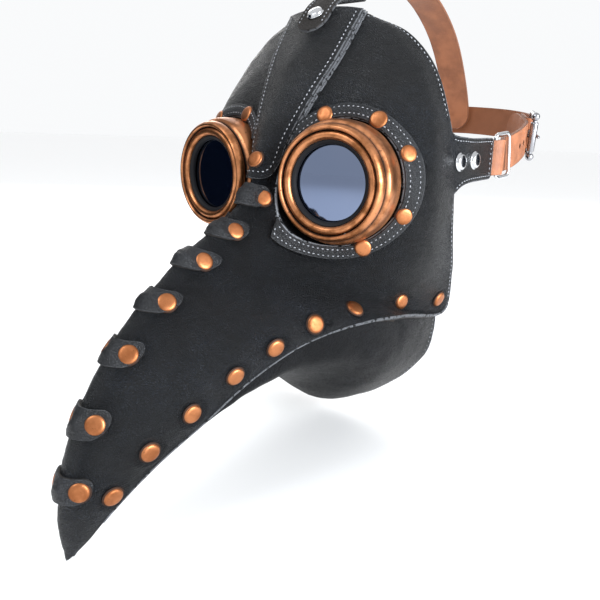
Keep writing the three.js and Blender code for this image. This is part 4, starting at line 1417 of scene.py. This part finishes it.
for word, sign in sides.items():
    makeSideStrap(word, sign)
    addLoop(f"strapLoop{word}", loopWire, sign, f"strap_loop_{word.lower()}")
    makeBuckle(word, sign)
    makeProng(word, sign)
    makeTabRivets(word, sign)
makeRearStrap()
makeTongue()
makeCrown()
print("harness hung")

# ---------- room ----------

room = {
    "floorZ": -0.156,
    "floorSize": 60.0,
    "floorColour": (0.97, 0.97, 0.97),
    "worldColour": (0.98, 0.99, 1.0),
    "worldStrength": 0.97,
    "target": (0, -0.03, -0.02),
}
lamps = [
    # name, place in metres, size, watts, colour
    ("keyRight", (1.2, -0.1, 0.2), 0.75, 27, (0.92, 0.96, 1.0)),
    ("frontHigh", (-0.25, -1.0, 1.0), 0.6, 8, (0.9, 0.95, 1.0)),
    ("backLeft", (-0.9, 1.0, 0.7), 0.9, 10, (1.0, 0.99, 0.97)),
]
# dark screens beside the object, seen only in shiny surfaces: place, size
screens = [
    ("screenLeft", (-0.4, -0.2, -0.03), (0.5, 0.6)),
    ("screenBack", (0.5, 0.75, 0.05), (0.5, 0.7)),
]


def addPlane(name, wide, high, z, material):
    mesh = bpy.data.meshes.new(name)
    corners = [(x * wide / 2, y * high / 2, z) for x, y in ((-1, -1), (1, -1), (1, 1), (-1, 1))]
    mesh.from_pydata(corners, [], [(0, 1, 2, 3)])
    mesh.materials.append(material)
    plane = bpy.data.objects.new(name, mesh)
    bpy.context.scene.collection.objects.link(plane)
    return plane


def turnTo(thing, place, front):
    # puts a lamp or screen at a place, its front axis towards or away from the object
    thing.location = place
    thing.rotation_euler = (Vector(room["target"]) - Vector(place)).to_track_quat(front, "Y").to_euler()


def makeRoom():
    paint = Finish("palePaint")
    paint.set(base=room["floorColour"], rough=0.8)
    floor = addPlane("floor", room["floorSize"], room["floorSize"], room["floorZ"], paint.material)
    world = bpy.data.worlds.new("softRoom")
    world.use_nodes = True
    sky = world.node_tree.nodes["Background"]
    sky.inputs["Color"].default_value = (*room["worldColour"], 1)
    sky.inputs["Strength"].default_value = room["worldStrength"]
    bpy.context.scene.world = world
    for name, place, size, watts, colour in lamps:
        data = bpy.data.lights.new(name, "AREA")
        data.size = size
        data.energy = watts
        data.color = colour
        lamp = bpy.data.objects.new(name, data)
        bpy.context.scene.collection.objects.link(lamp)
        turnTo(lamp, place, "-Z")
    dark = Finish("darkScreen")
    dark.set(base=(0.004, 0.006, 0.011), rough=0.9, specular=0.0)
    for name, place, (wide, high) in screens:
        screen = addPlane(name, wide, high, 0, dark.material)
        turnTo(screen, place, "Z")
        for ray in ("camera", "shadow", "diffuse", "transmission"):
            setattr(screen, f"visible_{ray}", False)
    bpy.context.scene.view_settings.view_transform = "Standard"


makeRoom()
print("room lit")
